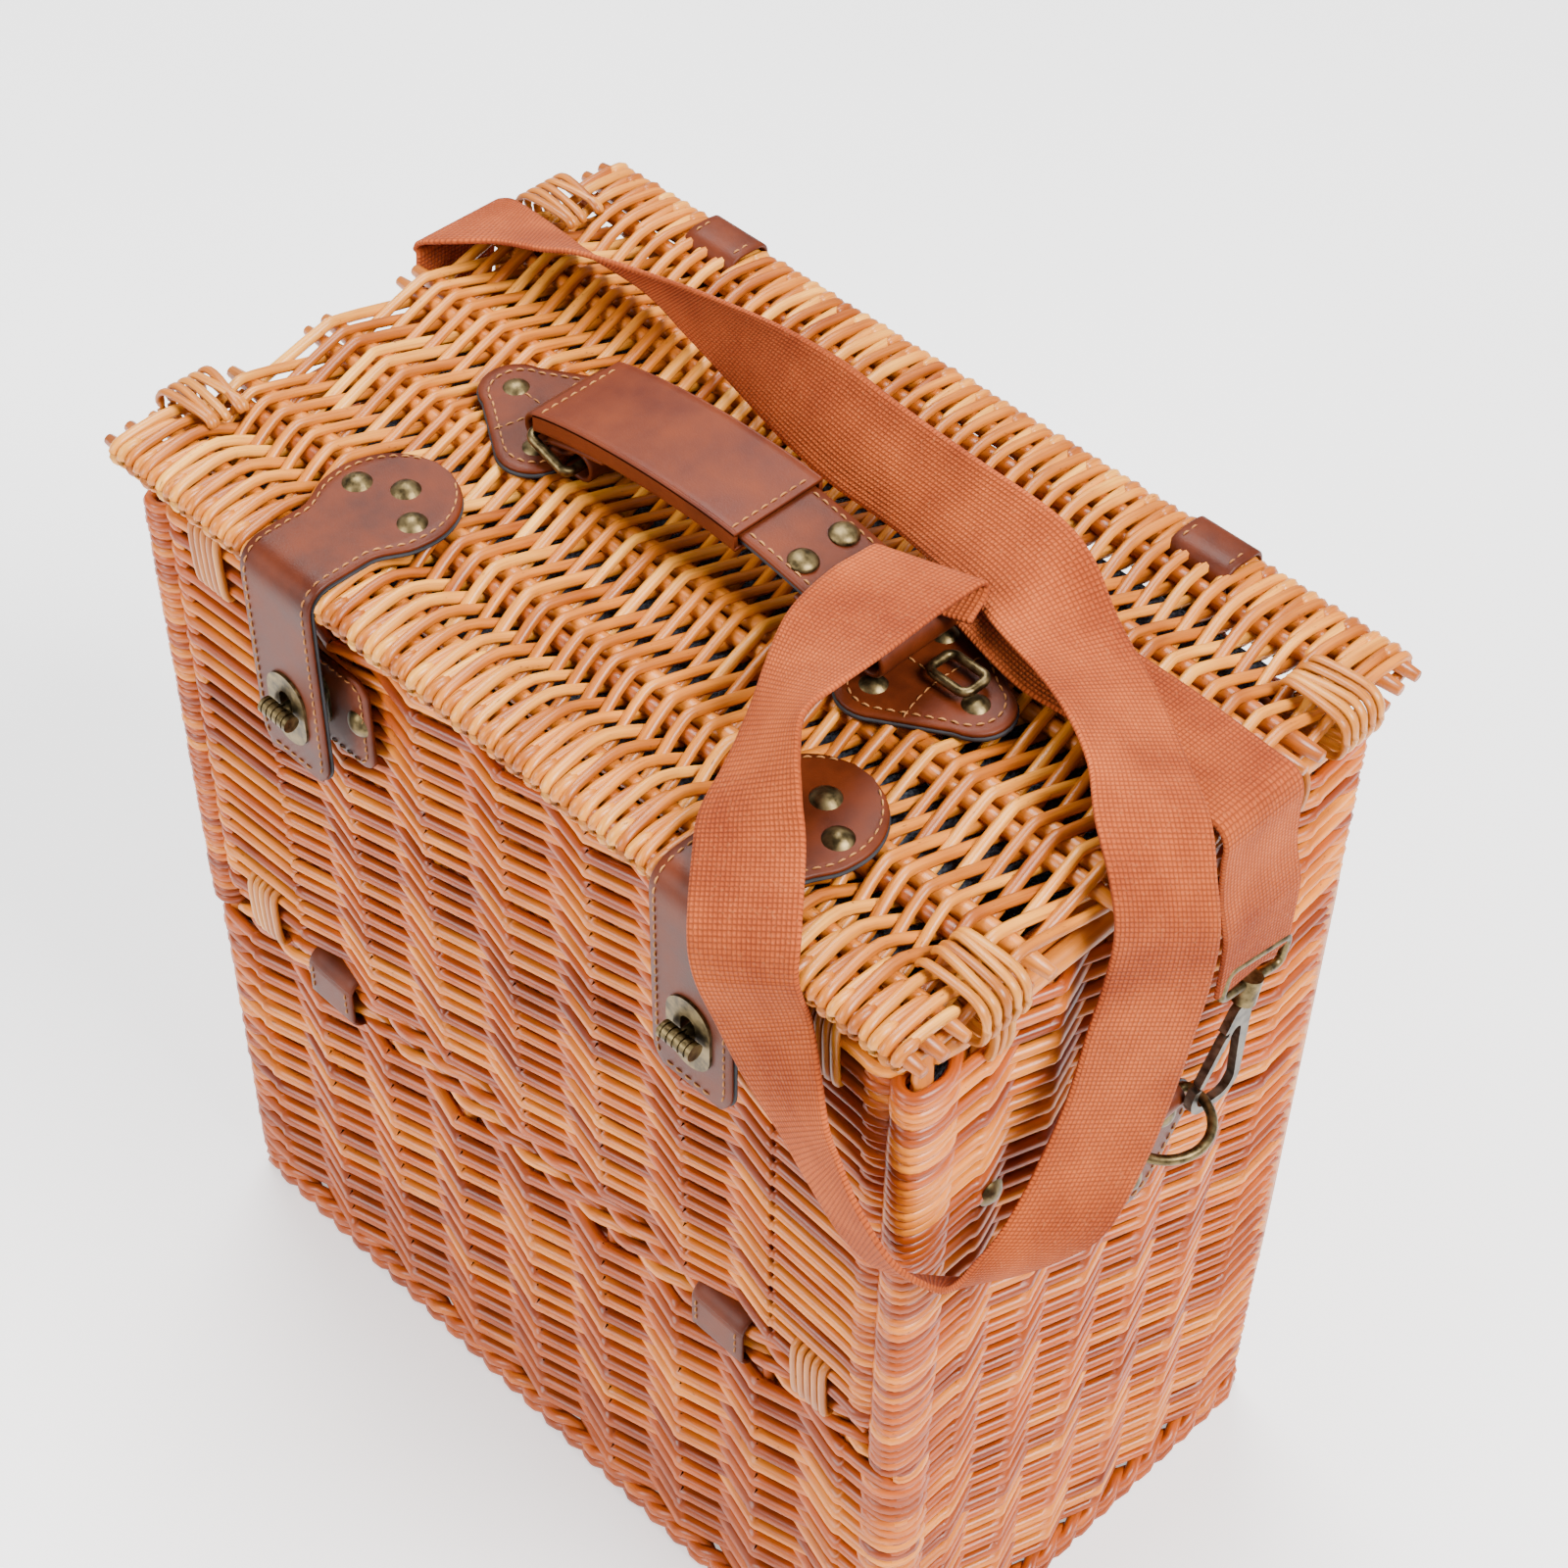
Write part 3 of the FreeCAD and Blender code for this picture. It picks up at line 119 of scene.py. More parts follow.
class Strands:
    """Gathers tubes and strips into one mesh with a tone and a grain per vertex."""

    def __init__(self):
        self.verts = []
        self.faces = []
        self.tones = []
        self.grains = []
        self.count = 0

    def add(self, verts, faces, tone, grain):
        self.verts.append(verts)
        self.tones.append(np.full(len(verts), tone))
        self.grains.append(grain)
        self.faces += [tuple(self.count + i for i in face) for face in faces]
        self.count += len(verts)

    def tube(self, path, radius, sides=7, ref=UP, tone=None, flat=1.0, closed=False):
        """Round (or flattened) strand along a path, with rounded-off ends."""
        path = np.asarray(path, float)
        n = len(path)
        if closed:
            heading = np.roll(path, -1, 0) - np.roll(path, 1, 0)
            heading /= np.linalg.norm(heading, axis=1)[:, None] + 1e-9
        else:
            heading = headings(path)
        across = np.cross(heading, np.asarray(ref, float))
        size = np.linalg.norm(across, axis=1)[:, None]
        across = np.where(size > 1e-3, across / (size + 1e-9), np.array([1.0, 0, 0]))
        lift = np.cross(across, heading)
        radius = np.broadcast_to(np.asarray(radius, float), (n,)).copy()
        if not closed:
            radius[0] *= 0.6
            radius[-1] *= 0.6
        angle = np.arange(sides) * 2 * math.pi / sides
        ring_a = np.cos(angle)[None, :, None] * across[:, None, :]
        ring_b = np.sin(angle)[None, :, None] * lift[:, None, :] * flat
        verts = path[:, None, :] + radius[:, None, None] * (ring_a + ring_b)
        faces = []
        last = n if closed else n - 1
        for i in range(last):
            a, b = i * sides, ((i + 1) % n) * sides
            for k in range(sides):
                j = (k + 1) % sides
                faces.append((a + k, a + j, b + j, b + k))
        if not closed:
            faces.append(tuple(range(sides - 1, -1, -1)))
            faces.append(tuple((n - 1) * sides + k for k in range(sides)))
        run = lengths(path) + RNG.uniform(0, GRAIN_SPREAD)
        grain = np.zeros((n, sides, 3))
        grain[:, :, 0] = run[:, None]
        grain[:, :, 1] = np.cos(angle)[None, :] * 2.0
        grain[:, :, 2] = np.sin(angle)[None, :] * 2.0
        tone = RNG.uniform(0, 1) if tone is None else tone
        self.add(verts.reshape(-1, 3), faces, tone, grain.reshape(-1, 3))

    def strip(self, centres, across, half_width, thick, tone=0.5, hole=None, columns=8):
        """Flat band with rounded edges; its face is on the side of heading x across."""
        centres = np.asarray(centres, float)
        last = len(centres) - 1
        across = np.broadcast_to(np.asarray(across, float), centres.shape)
        half = np.broadcast_to(np.asarray(half_width, float), (last + 1,))
        places = [0.0, 0.03] + list(range(1, last)) + [last - 0.03, float(last)]
        centres, across, half = [between(part, places) for part in (centres, across, half)]
        n = len(centres)
        across = across / np.linalg.norm(across, axis=1)[:, None]
        normal = np.cross(headings(centres), across)
        normal /= np.linalg.norm(normal, axis=1)[:, None] + 1e-9
        edge = thick * 0.35
        inner = np.linspace(-1, 1, columns)
        rows = []
        sections = []
        for i in range(n):
            w = max(half[i] - edge, 0.05)
            if hole is None:
                u = inner * w
            else:
                c = min(hole[0], w * 0.5)
                wing = np.linspace(c, w, columns // 2)
                u = np.concatenate([-wing[::-1], wing])
            top = [(x, thick) for x in u]
            bottom = [(x, 0.0) for x in u[::-1]]
            right = [(half[i], thick * 0.7), (half[i], thick * 0.3)]
            left = [(-half[i], thick * 0.3), (-half[i], thick * 0.7)]
            section = np.array(top + right + bottom + left)
            rows.append(centres[i] + section[:, :1] * across[i] + section[:, 1:] * normal[i])
            sections.append(section)
        m = len(rows[0])
        faces = []
        mid = columns // 2 - 1
        open_cells = (mid, columns + 2 + mid)
        run = lengths(centres)
        for i in range(n - 1):
            holed = hole is not None and hole[1] <= run[i] and run[i + 1] <= hole[2]
            for k in range(m):
                if holed and k in open_cells:
                    continue
                j = (k + 1) % m
                faces.append((i * m + k, i * m + j, (i + 1) * m + j, (i + 1) * m + k))
        faces.append(tuple(range(m - 1, -1, -1)))
        faces.append(tuple((n - 1) * m + k for k in range(m)))
        grain = np.zeros((n, m, 3))
        grain[:, :, 0] = run[:, None]
        grain[:, :, 1:] = np.array(sections)
        self.add(np.array(rows).reshape(-1, 3), faces, tone, grain.reshape(-1, 3))

    def plate(self, outline, origin, u_dir, v_dir, thick, tone=0.5):
        """Flat rounded-edge plate from a star-shaped outline in its own plane."""
        outline = np.asarray(outline, float)
        heart = outline.mean(0)
        u_dir, v_dir = np.asarray(u_dir, float), np.asarray(v_dir, float)
        normal = np.cross(u_dir, v_dir)
        size = np.abs(outline - heart).max()
        edge = thick * 0.3 / size
        rings = [(1.0, 0.0), (1.0, 0.7), (1.0 - edge, 1.0)]
        rings += [(0.9, 1.0), (0.75, 1.02), (0.5, 1.04), (0.25, 1.04)]
        n = len(outline)
        verts, grain = [], []
        for scale, level in rings:
            flat = heart + (outline - heart) * scale
            for u, v in flat:
                verts.append(np.asarray(origin) + u * u_dir + v * v_dir + normal * thick * level)
                grain.append((u, v, level))
        faces = []
        for r in range(len(rings) - 1):
            for k in range(n):
                j = (k + 1) % n
                faces.append((r * n + k, r * n + j, (r + 1) * n + j, (r + 1) * n + k))
        faces.append(tuple((len(rings) - 1) * n + k for k in range(n)))
        faces.append(tuple(range(n - 1, -1, -1)))
        self.add(np.array(verts), faces, tone, np.array(grain))

    def stitches(self, line, normal, length=2.7, gap=1.3, radius=0.36):
        """Short raised stitches along a line lying on a surface."""
        line = np.asarray(line, float)
        normal = np.broadcast_to(np.asarray(normal, float), line.shape)
        run = lengths(line)
        start = 0.0
        while start + length < run[-1]:
            at = np.linspace(start, start + length, 4)
            place = np.stack([np.interp(at, run, line[:, k]) for k in range(3)], 1)
            out = np.stack([np.interp(at, run, normal[:, k]) for k in range(3)], 1)
            bow = np.array([-0.15, 0.25, 0.25, -0.15])[:, None]
            self.tube(place + out * bow, radius, 5, ref=out[1])
            start += length + gap

    def make(self, name, material):
        """The finished mesh object, in metres, at the origin of the frame."""
        mesh = bpy.data.meshes.new(name)
        verts = np.concatenate(self.verts) * MM
        mesh.from_pydata(verts.tolist(), [], self.faces)
        tone = mesh.attributes.new("tone", "FLOAT", "POINT")
        tone.data.foreach_set("value", np.concatenate(self.tones).astype(np.float32))
        grain = mesh.attributes.new("grain", "FLOAT_VECTOR", "POINT")
        grain.data.foreach_set("vector", np.concatenate(self.grains).astype(np.float32).ravel())
        mesh.polygons.foreach_set("use_smooth", [True] * len(mesh.polygons))
        mesh.validate()
        obj = bpy.data.objects.new(name, mesh)
        bpy.context.scene.collection.objects.link(obj)
        mesh.materials.append(material)
        return obj


def smooth(points, per=4):
    """Catmull-Rom curve through the points."""
    p = np.asarray(points, float)
    p = np.concatenate([[2 * p[0] - p[1]], p, [2 * p[-1] - p[-2]]])
    t = (np.arange(per) / per)[:, None]
    out = []
    for i in range(1, len(p) - 2):
        a, b, c, d = p[i - 1], p[i], p[i + 1], p[i + 2]
        out.append(0.5 * (2 * b + (c - a) * t + (2 * a - 5 * b + 4 * c - d) * t ** 2
                          + (3 * b - a - 3 * c + d) * t ** 3))
    out.append(p[-2][None, :])
    return np.concatenate(out)


def piece(strands, name, material, body, *nodes):
    """Makes a piece, lets it ride a CAD body and stand for CAD nodes."""
    obj = strands.make(name, material)
    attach(obj, body)
    if nodes:
        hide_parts(*nodes)
    return obj


# ---------------------------------------------------------------------- materials
def new_material(name):
    """Empty node material: (material, nodes, links, principled shader)."""
    material = bpy.data.materials.new(name)
    material.use_nodes = True
    nodes = material.node_tree.nodes
    links = material.node_tree.links
    return material, nodes, links, nodes["Principled BSDF"]


def attribute(nodes, name):
    node = nodes.new("ShaderNodeAttribute")
    node.attribute_name = name
    return node


def noise(nodes, links, vector, scale, detail=4.0, rough=0.55):
    node = nodes.new("ShaderNodeTexNoise")
    node.inputs["Scale"].default_value = scale
    node.inputs["Detail"].default_value = detail
    node.inputs["Roughness"].default_value = rough
    if vector is not None:
        links.new(vector, node.inputs["Vector"])
    return node.outputs["Fac"]


def stretched(nodes, links, vector, scale):
    node = nodes.new("ShaderNodeMapping")
    node.inputs["Scale"].default_value = scale
    links.new(vector, node.inputs["Vector"])
    return node.outputs["Vector"]


def ramp(nodes, links, value, stops):
    node = nodes.new("ShaderNodeValToRGB")
    elements = node.color_ramp.elements
    while len(elements) < len(stops):
        elements.new(0.5)
    for element, (place, colour) in zip(elements, stops):
        element.position = place
        element.color = (*colour, 1.0)
    links.new(value, node.inputs["Fac"])
    return node.outputs["Color"]


def mix(nodes, links, kind, factor, a, b):
    node = nodes.new("ShaderNodeMix")
    node.data_type = "RGBA"
    node.blend_type = kind
    if isinstance(factor, float):
        node.inputs["Factor"].default_value = factor
    else:
        links.new(factor, node.inputs["Factor"])
    for socket, value in ((node.inputs["A"], a), (node.inputs["B"], b)):
        if isinstance(value, tuple):
            socket.default_value = (*value, 1.0)
        else:
            links.new(value, socket)
    return node.outputs["Result"]


def maths(nodes, links, kind, a, b=0.0):
    node = nodes.new("ShaderNodeMath")
    node.operation = kind
    for socket, value in zip(node.inputs, (a, b)):
        if isinstance(value, (int, float)):
            socket.default_value = value
        else:
            links.new(value, socket)
    return node.outputs[0]


def bump(nodes, links, shader, height, strength, distance):
    node = nodes.new("ShaderNodeBump")
    node.inputs["Strength"].default_value = strength
    node.inputs["Distance"].default_value = distance * MM
    links.new(height, node.inputs["Height"])
    links.new(node.outputs["Normal"], shader.inputs["Normal"])


def roughness(nodes, links, shader, value, low, high):
    """Roughness that follows a pattern between two values."""
    node = nodes.new("ShaderNodeMapRange")
    node.inputs["To Min"].default_value = low
    node.inputs["To Max"].default_value = high
    links.new(value, node.inputs["Value"])
    links.new(node.outputs["Result"], shader.inputs["Roughness"])


def thread_waves(nodes, links, pitch):
    """Waves of the threads along and across a woven band, from its own grain."""
    parts = nodes.new("ShaderNodeSeparateXYZ")
    links.new(attribute(nodes, "grain").outputs["Vector"], parts.inputs[0])
    waves = []
    for axis in (0, 1):
        turn = maths(nodes, links, "MULTIPLY", parts.outputs[axis], math.pi / pitch)
        waves.append(maths(nodes, links, "SINE", turn))
    return waves


def place_of(nodes):
    """Position on the object."""
    return nodes.new("ShaderNodeTexCoord").outputs["Object"]


def willow(name, stops, gloss=0.34):
    """Varnished willow: a tone per strand, fibres along it, freckles and knots."""
    material, nodes, links, shader = new_material(name)
    tone = attribute(nodes, "tone").outputs["Fac"]
    grain = attribute(nodes, "grain").outputs["Vector"]
    fibre = noise(nodes, links, stretched(nodes, links, grain, (0.03, 0.9, 0.9)), 1.0, 5.0)
    patch = noise(nodes, links, stretched(nodes, links, grain, (0.035, 0.1, 0.1)), 1.0, 2.0)
    shade = maths(nodes, links, "ADD", maths(nodes, links, "MULTIPLY", tone, 0.45),
                  maths(nodes, links, "MULTIPLY", patch, 0.55))
    base = ramp(nodes, links, shade, stops)
    streak = ramp(nodes, links, fibre, [(0.35, (0.62, 0.55, 0.48)), (0.6, (1.0, 1.0, 1.0))])
    base = mix(nodes, links, "MULTIPLY", 0.75, base, streak)
    fleck = noise(nodes, links, stretched(nodes, links, grain, (0.35, 0.8, 0.8)), 1.0, 3.0)
    spot = ramp(nodes, links, fleck, [(0.66, (0.0, 0.0, 0.0)), (0.74, (0.75, 0.75, 0.75))])
    base = mix(nodes, links, "MIX", spot, base, (0.12, 0.04, 0.012))
    links.new(base, shader.inputs["Base Color"])
    roughness(nodes, links, shader, fibre, gloss - 0.08, gloss + 0.14)
    shader.inputs["Specular IOR Level"].default_value = 0.3
    shader.inputs["Coat Weight"].default_value = 0.14
    shader.inputs["Coat Roughness"].default_value = 0.2
    bump(nodes, links, shader, fibre, 0.35, 0.5)
    return material


def leather(name, dark, light, rough=0.36):
    """Smooth dyed leather with a pore grain, creases and rubbed patches."""
    material, nodes, links, shader = new_material(name)
    place = place_of(nodes)
    cloud = noise(nodes, links, place, 55.0, 4.0)
    pores = noise(nodes, links, place, 1600.0, 3.0)
    base = ramp(nodes, links, cloud, [(0.32, dark), (0.7, light)])
    links.new(base, shader.inputs["Base Color"])
    shader.inputs["Specular IOR Level"].default_value = 0.2
    roughness(nodes, links, shader, cloud, rough - 0.08, rough + 0.16)
    bump(nodes, links, shader, pores, 0.22, 0.35)
    return material


def webbing_material():
    """Coarse plain-woven cotton webbing: threads both ways, dusty and uneven in dye."""
    material, nodes, links, shader = new_material("webbing")
    waves = thread_waves(nodes, links, 1.6)
    cross = maths(nodes, links, "MULTIPLY", waves[0], waves[1])
    over = maths(nodes, links, "ABSOLUTE", waves[1])
    under = maths(nodes, links, "ABSOLUTE", waves[0])
    both = maths(nodes, links, "MULTIPLY", over, under)
    knot = maths(nodes, links, "MAXIMUM", cross, maths(nodes, links, "MULTIPLY", both, 0.75))
    place = place_of(nodes)
    cloud = noise(nodes, links, place, 28.0, 5.0)
    fuzz = noise(nodes, links, place, 900.0, 3.0)
    base = ramp(nodes, links, cloud, [(0.3, (0.27, 0.045, 0.010)), (0.7, (0.49, 0.102, 0.021))])
    lit = ramp(nodes, links, knot, [(0.0, (0.42, 0.36, 0.32)), (0.6, (1.0, 1.0, 1.0))])
    base = mix(nodes, links, "MULTIPLY", 0.85, base, lit)
    dust = ramp(nodes, links, fuzz, [(0.55, (0.0, 0.0, 0.0)), (0.8, (0.22, 0.22, 0.22))])
    base = mix(nodes, links, "MIX", dust, base, (0.60, 0.23, 0.09))
    links.new(base, shader.inputs["Base Color"])
    shader.inputs["Roughness"].default_value = 0.92
    shader.inputs["Specular IOR Level"].default_value = 0.15
    shader.inputs["Sheen Weight"].default_value = 0.02
    shader.inputs["Sheen Roughness"].default_value = 0.5
    height = maths(nodes, links, "ADD", knot, maths(nodes, links, "MULTIPLY", fuzz, 0.5))
    bump(nodes, links, shader, height, 0.8, 0.55)
    return material


def brass_material(name, dark, light, rough):
    """Antiqued metal: dark in the hollows, rubbed bright where it is handled."""
    material, nodes, links, shader = new_material(name)
    place = place_of(nodes)
    cloud = noise(nodes, links, place, 260.0, 5.0)
    base = ramp(nodes, links, cloud, [(0.35, dark), (0.65, light)])
    links.new(base, shader.inputs["Base Color"])
    shader.inputs["Metallic"].default_value = 1.0
    roughness(nodes, links, shader, cloud, rough - 0.1, rough + 0.15)
    bump(nodes, links, shader, cloud, 0.15, 0.3)
    return material


def cloth_material():
    """Dark plain-woven lining cloth with a faint slub."""
    material, nodes, links, shader = new_material("lining_cloth")
    grain = attribute(nodes, "grain").outputs["Vector"]
    waves = thread_waves(nodes, links, 1.3)
    weave = maths(nodes, links, "MULTIPLY", waves[0], waves[1])
    slub = noise(nodes, links, stretched(nodes, links, grain, (0.04, 0.9, 0.9)), 1.0, 3.0)
    shade = maths(nodes, links, "ADD", maths(nodes, links, "MULTIPLY", weave, 0.2), slub)
    base = ramp(nodes, links, shade, [(0.3, (0.018, 0.022, 0.032)), (0.7, (0.06, 0.07, 0.09))])
    links.new(base, shader.inputs["Base Color"])
    shader.inputs["Roughness"].default_value = 0.95
    bump(nodes, links, shader, weave, 0.5, 0.4)
    return material


# Lid copy of the willow: brighter and paler than the walls' copy, painted light from above on the top of the
# hamper.
LID_WILLOW_PAINTED_LIGHT = willow("willow_lid", [(0.2, (0.27, 0.055, 0.003)), (0.5, (0.58, 0.18, 0.012)),
                                   (0.8, (0.86, 0.40, 0.055))])
# Wall copy of the willow: darker and more saturated than the lid's copy, painted shade on the hamper's
# upright sides and their borders.
WALL_WILLOW_PAINTED_SHADE = willow("willow_wall", [(0.2, (0.19, 0.025, 0.001)), (0.5, (0.44, 0.080, 0.003)),
                                     (0.8, (0.76, 0.24, 0.016))])
ROD_WILLOW = willow("willow_rod", [(0.2, (0.24, 0.045, 0.003)), (0.5, (0.46, 0.12, 0.008)),
                                   (0.8, (0.66, 0.22, 0.022))])
SKEIN_WILLOW = willow("willow_binding", [(0.2, (0.26, 0.060, 0.004)), (0.5, (0.48, 0.15, 0.012)),
                                         (0.8, (0.70, 0.29, 0.035))])
TAN_LEATHER = leather("leather", (0.052, 0.0085, 0.002), (0.115, 0.0195, 0.003), 0.42)
SLEEVE_LEATHER = leather("leather_sleeve", (0.074, 0.0115, 0.003), (0.130, 0.0225, 0.004), 0.44)
DARK_LEATHER = leather("leather_backing", (0.012, 0.012, 0.014), (0.04, 0.04, 0.045), 0.6)
THREAD = leather("stitch_thread", (0.27, 0.10, 0.028), (0.43, 0.19, 0.06), 0.7)
WEBBING = webbing_material()
BRASS = brass_material("antique_brass", (0.045, 0.032, 0.014), (0.20, 0.145, 0.065), 0.4)
STEEL = brass_material("dark_hook_metal", (0.04, 0.036, 0.03), (0.17, 0.15, 0.12), 0.4)
LINING = cloth_material()
LINING_THREAD = leather("lining_thread", (0.10, 0.11, 0.13), (0.16, 0.17, 0.20), 0.8)

# ------------------------------------------------------------------------ the lid
GROUP_PITCH = 41.2
GROUP_SHIFT = -4.0
GROUPS = [(-61.8 + k * GROUP_PITCH) + GROUP_SHIFT + 1.0 for k in range(4)]
WEAVER_PITCH = 4.15
WEAVER_R = 2.05
RISE = 4.1
ZIGZAG = 1.9
BAND_Y = 97.0
EDGE_Y = 108.0
TURN_Y = 115.0
ROD_PAIR_HALF = 5.0


def lid_weave():
    """Weavers front to back, over and under the pairs of rods, turned round the edges."""
    weave = Strands()
    half = LID_HIGH[0] - 3.0
    count = int(2 * half / WEAVER_PITCH)
    for k in range(count + 1):
        x = -half + k * 2 * half / count + RNG.normal(0, 0.25)
        edge = min(1.0, (half - abs(x)) / 14.0)
        path = []
        for g, y in enumerate(GROUPS):
            up = 1 if (k + g) % 2 else -1
            for dy in (-ROD_PAIR_HALF, ROD_PAIR_HALF):
                path.append((x - up * ZIGZAG * edge + RNG.normal(0, 0.3), y + dy,
                             LID_Z + up * RISE))
        for end in SIDES:
            up = 1 if (k + (0 if end < 0 else len(GROUPS) - 1)) % 2 == 0 else -1
            reach = [(x - up * 2.0 * edge, end * (BAND_Y - 7), LID_Z + up * RISE),
                     (x - up * 1.0 * edge, end * EDGE_Y, LID_Z + up * RISE),
                     (x, end * (TURN_Y + 0.2), LID_Z + up * 2.0),
                     (x + 0.4, end * (TURN_Y - 0.2), LID_Z - up * 3.0),
                     (x + 0.8, end * EDGE_Y, LID_Z - up * (RISE + 0.4))]
            path = reach[::-1] + path if end < 0 else path + reach
        radius = WEAVER_R * RNG.uniform(0.88, 1.1)
        weave.tube(smooth(path, 4), radius, 7)
        for end in SIDES:
            up = 1 if (k + (0 if end < 0 else len(GROUPS) - 1)) % 2 == 0 else -1
            if up > 0:
                continue
            tip = BAND_Y - 4.0 + RNG.uniform(-2.5, 2.0)
            wrap = [(x + 0.6, end * tip, LID_Z + 3.2),
                    (x + 0.2, end * (tip + 5), LID_Z + RISE),
                    (x, end * (EDGE_Y + 0.5), LID_Z + RISE),
                    (x, end * TURN_Y, LID_Z + 2.0),
                    (x, end * (TURN_Y - 0.1), LID_Z - 2.5),
                    (x, end * (EDGE_Y + 1.0), LID_Z - RISE)]
            weave.tube(smooth(wrap, 3), radius * 0.97, 7)
    piece(weave, "lid_willow_weave", LID_WILLOW_PAINTED_LIGHT, "lid", "lid_weave")

    rods = Strands()
    lines = []
    for y in GROUPS:
        lines += [(y - 4.0, 3.1), (y + 4.2, 3.7)]
    for end in SIDES:
        lines += [(end * 95.0, 3.2), (end * 104.0, 3.6), (end * 112.6, 3.4)]
    for y, radius in lines:
        xs = np.linspace(ROD_LOW[0] - RNG.uniform(0, 2), ROD_HIGH[0] + RNG.uniform(0, 2), 24)
        wave = RNG.normal(0, 0.18, len(xs))
        path = [(x, y + w, LID_Z + 0.4 * w) for x, w in zip(xs, wave)]
        rods.tube(path, radius, 10)
    piece(rods, "lid_willow_rods", ROD_WILLOW, "lid", "lid_rods")


def lashing(strands, x_in, x_out, y, z_low, z_high, turns=5, width=17.0):
    """Split skein wound round the lid's end at one corner."""
    side = 1 if x_out > 0 else -1
    for t in range(turns):
        y0 = y + (t / (turns - 1) - 0.5) * width
        sway = RNG.uniform(-3.0, 3.0)
        loop = [(x_in, y0 + sway, z_high - 3.0), (x_in + side * 4, y0 + sway, z_high),
                (x_out - side * 8, y0 + 0.5, z_high + 0.6), (x_out - side * 1.5, y0, z_high - 2),
                (x_out, y0, (z_high + z_low) / 2), (x_out - side * 1.5, y0, z_low + 2),
                (x_out - side * 8, y0, z_low), (x_in + side * 4, y0 + sway, z_low),
                (x_in, y0 + sway, z_low + 3)]
        strands.tube(smooth(loop, 4), 1.8, 7, flat=0.65, tone=RNG.uniform(0.2, 0.9))


def lid_lashings():
    """Bindings at the four corners of the lid."""
    skein = Strands()
    low, high = span("lid_lashings")
    y = (high[1] + 72.0) / 2
    for side in SIDES:
        for end in SIDES:
            lashing(skein, side * 163.0, side * high[0], end * y, low[2] + 1, high[2] - 0.6)
    piece(skein, "lid_corner_bindings", SKEIN_WILLOW, "lid", "lid_lashings")


# ---------------------------------------------------------------------- the walls
def stake_row(stakes, normals, amount, phase):
    """Path past stakes, in front of one and behind the next, straight between them."""
    path = []
    for s, (place, out) in enumerate(zip(stakes, normals)):
        side = 1 if (s + phase) % 2 else -1
        along = np.array([-out[1], out[0], 0.0])
        for d in (-2.6, 2.6):
            path.append(np.asarray(place) + along * d + np.asarray(out) * side * amount)
    return path


def uneven(path, z, knots, spread):
    """Sets a row's height, with a slow random drift along it."""
    place = np.linspace(0, len(path), knots)
    path[:, 2] = z + np.interp(np.arange(len(path)), place, RNG.normal(0, spread, knots))
    return path


def front_row(mid, turn):
    """A front row from left to right between the same turn at both of its ends."""
    mid = mid if mid[0][0] < 0 else mid[::-1]
    start = [np.array((-p[0], p[1], 0), float) for p in turn[::-1]]
    return np.array(start + list(mid) + [np.array(p, float) for p in turn])


def u_stakes():
    """Stakes of the right, back and left walls in order, with outward normals."""
    stakes, normals = [], []
    for y in np.linspace(-76.0, 76.0, 6):
        stakes.append((WALL_X, y, 0))
        normals.append((1, 0, 0))
    for x in np.linspace(150.0, -150.0, 9):
        stakes.append((x, WALL_Y, 0))
        normals.append((0, 1, 0))
    for y in np.linspace(76.0, -76.0, 6):
        stakes.append((-WALL_X, y, 0))
        normals.append((-1, 0, 0))
    return stakes, normals


ROW_PITCH = 4.0
ROW_R = 2.25
LOW_ROW_PITCH = 5.0
LOW_ROW_R = 2.85
PANEL_PITCH = 3.9
ROW_LOW = 13.0
STAKE_FOOT = 6
BULGE = 4.3
POST_Y = -99.5


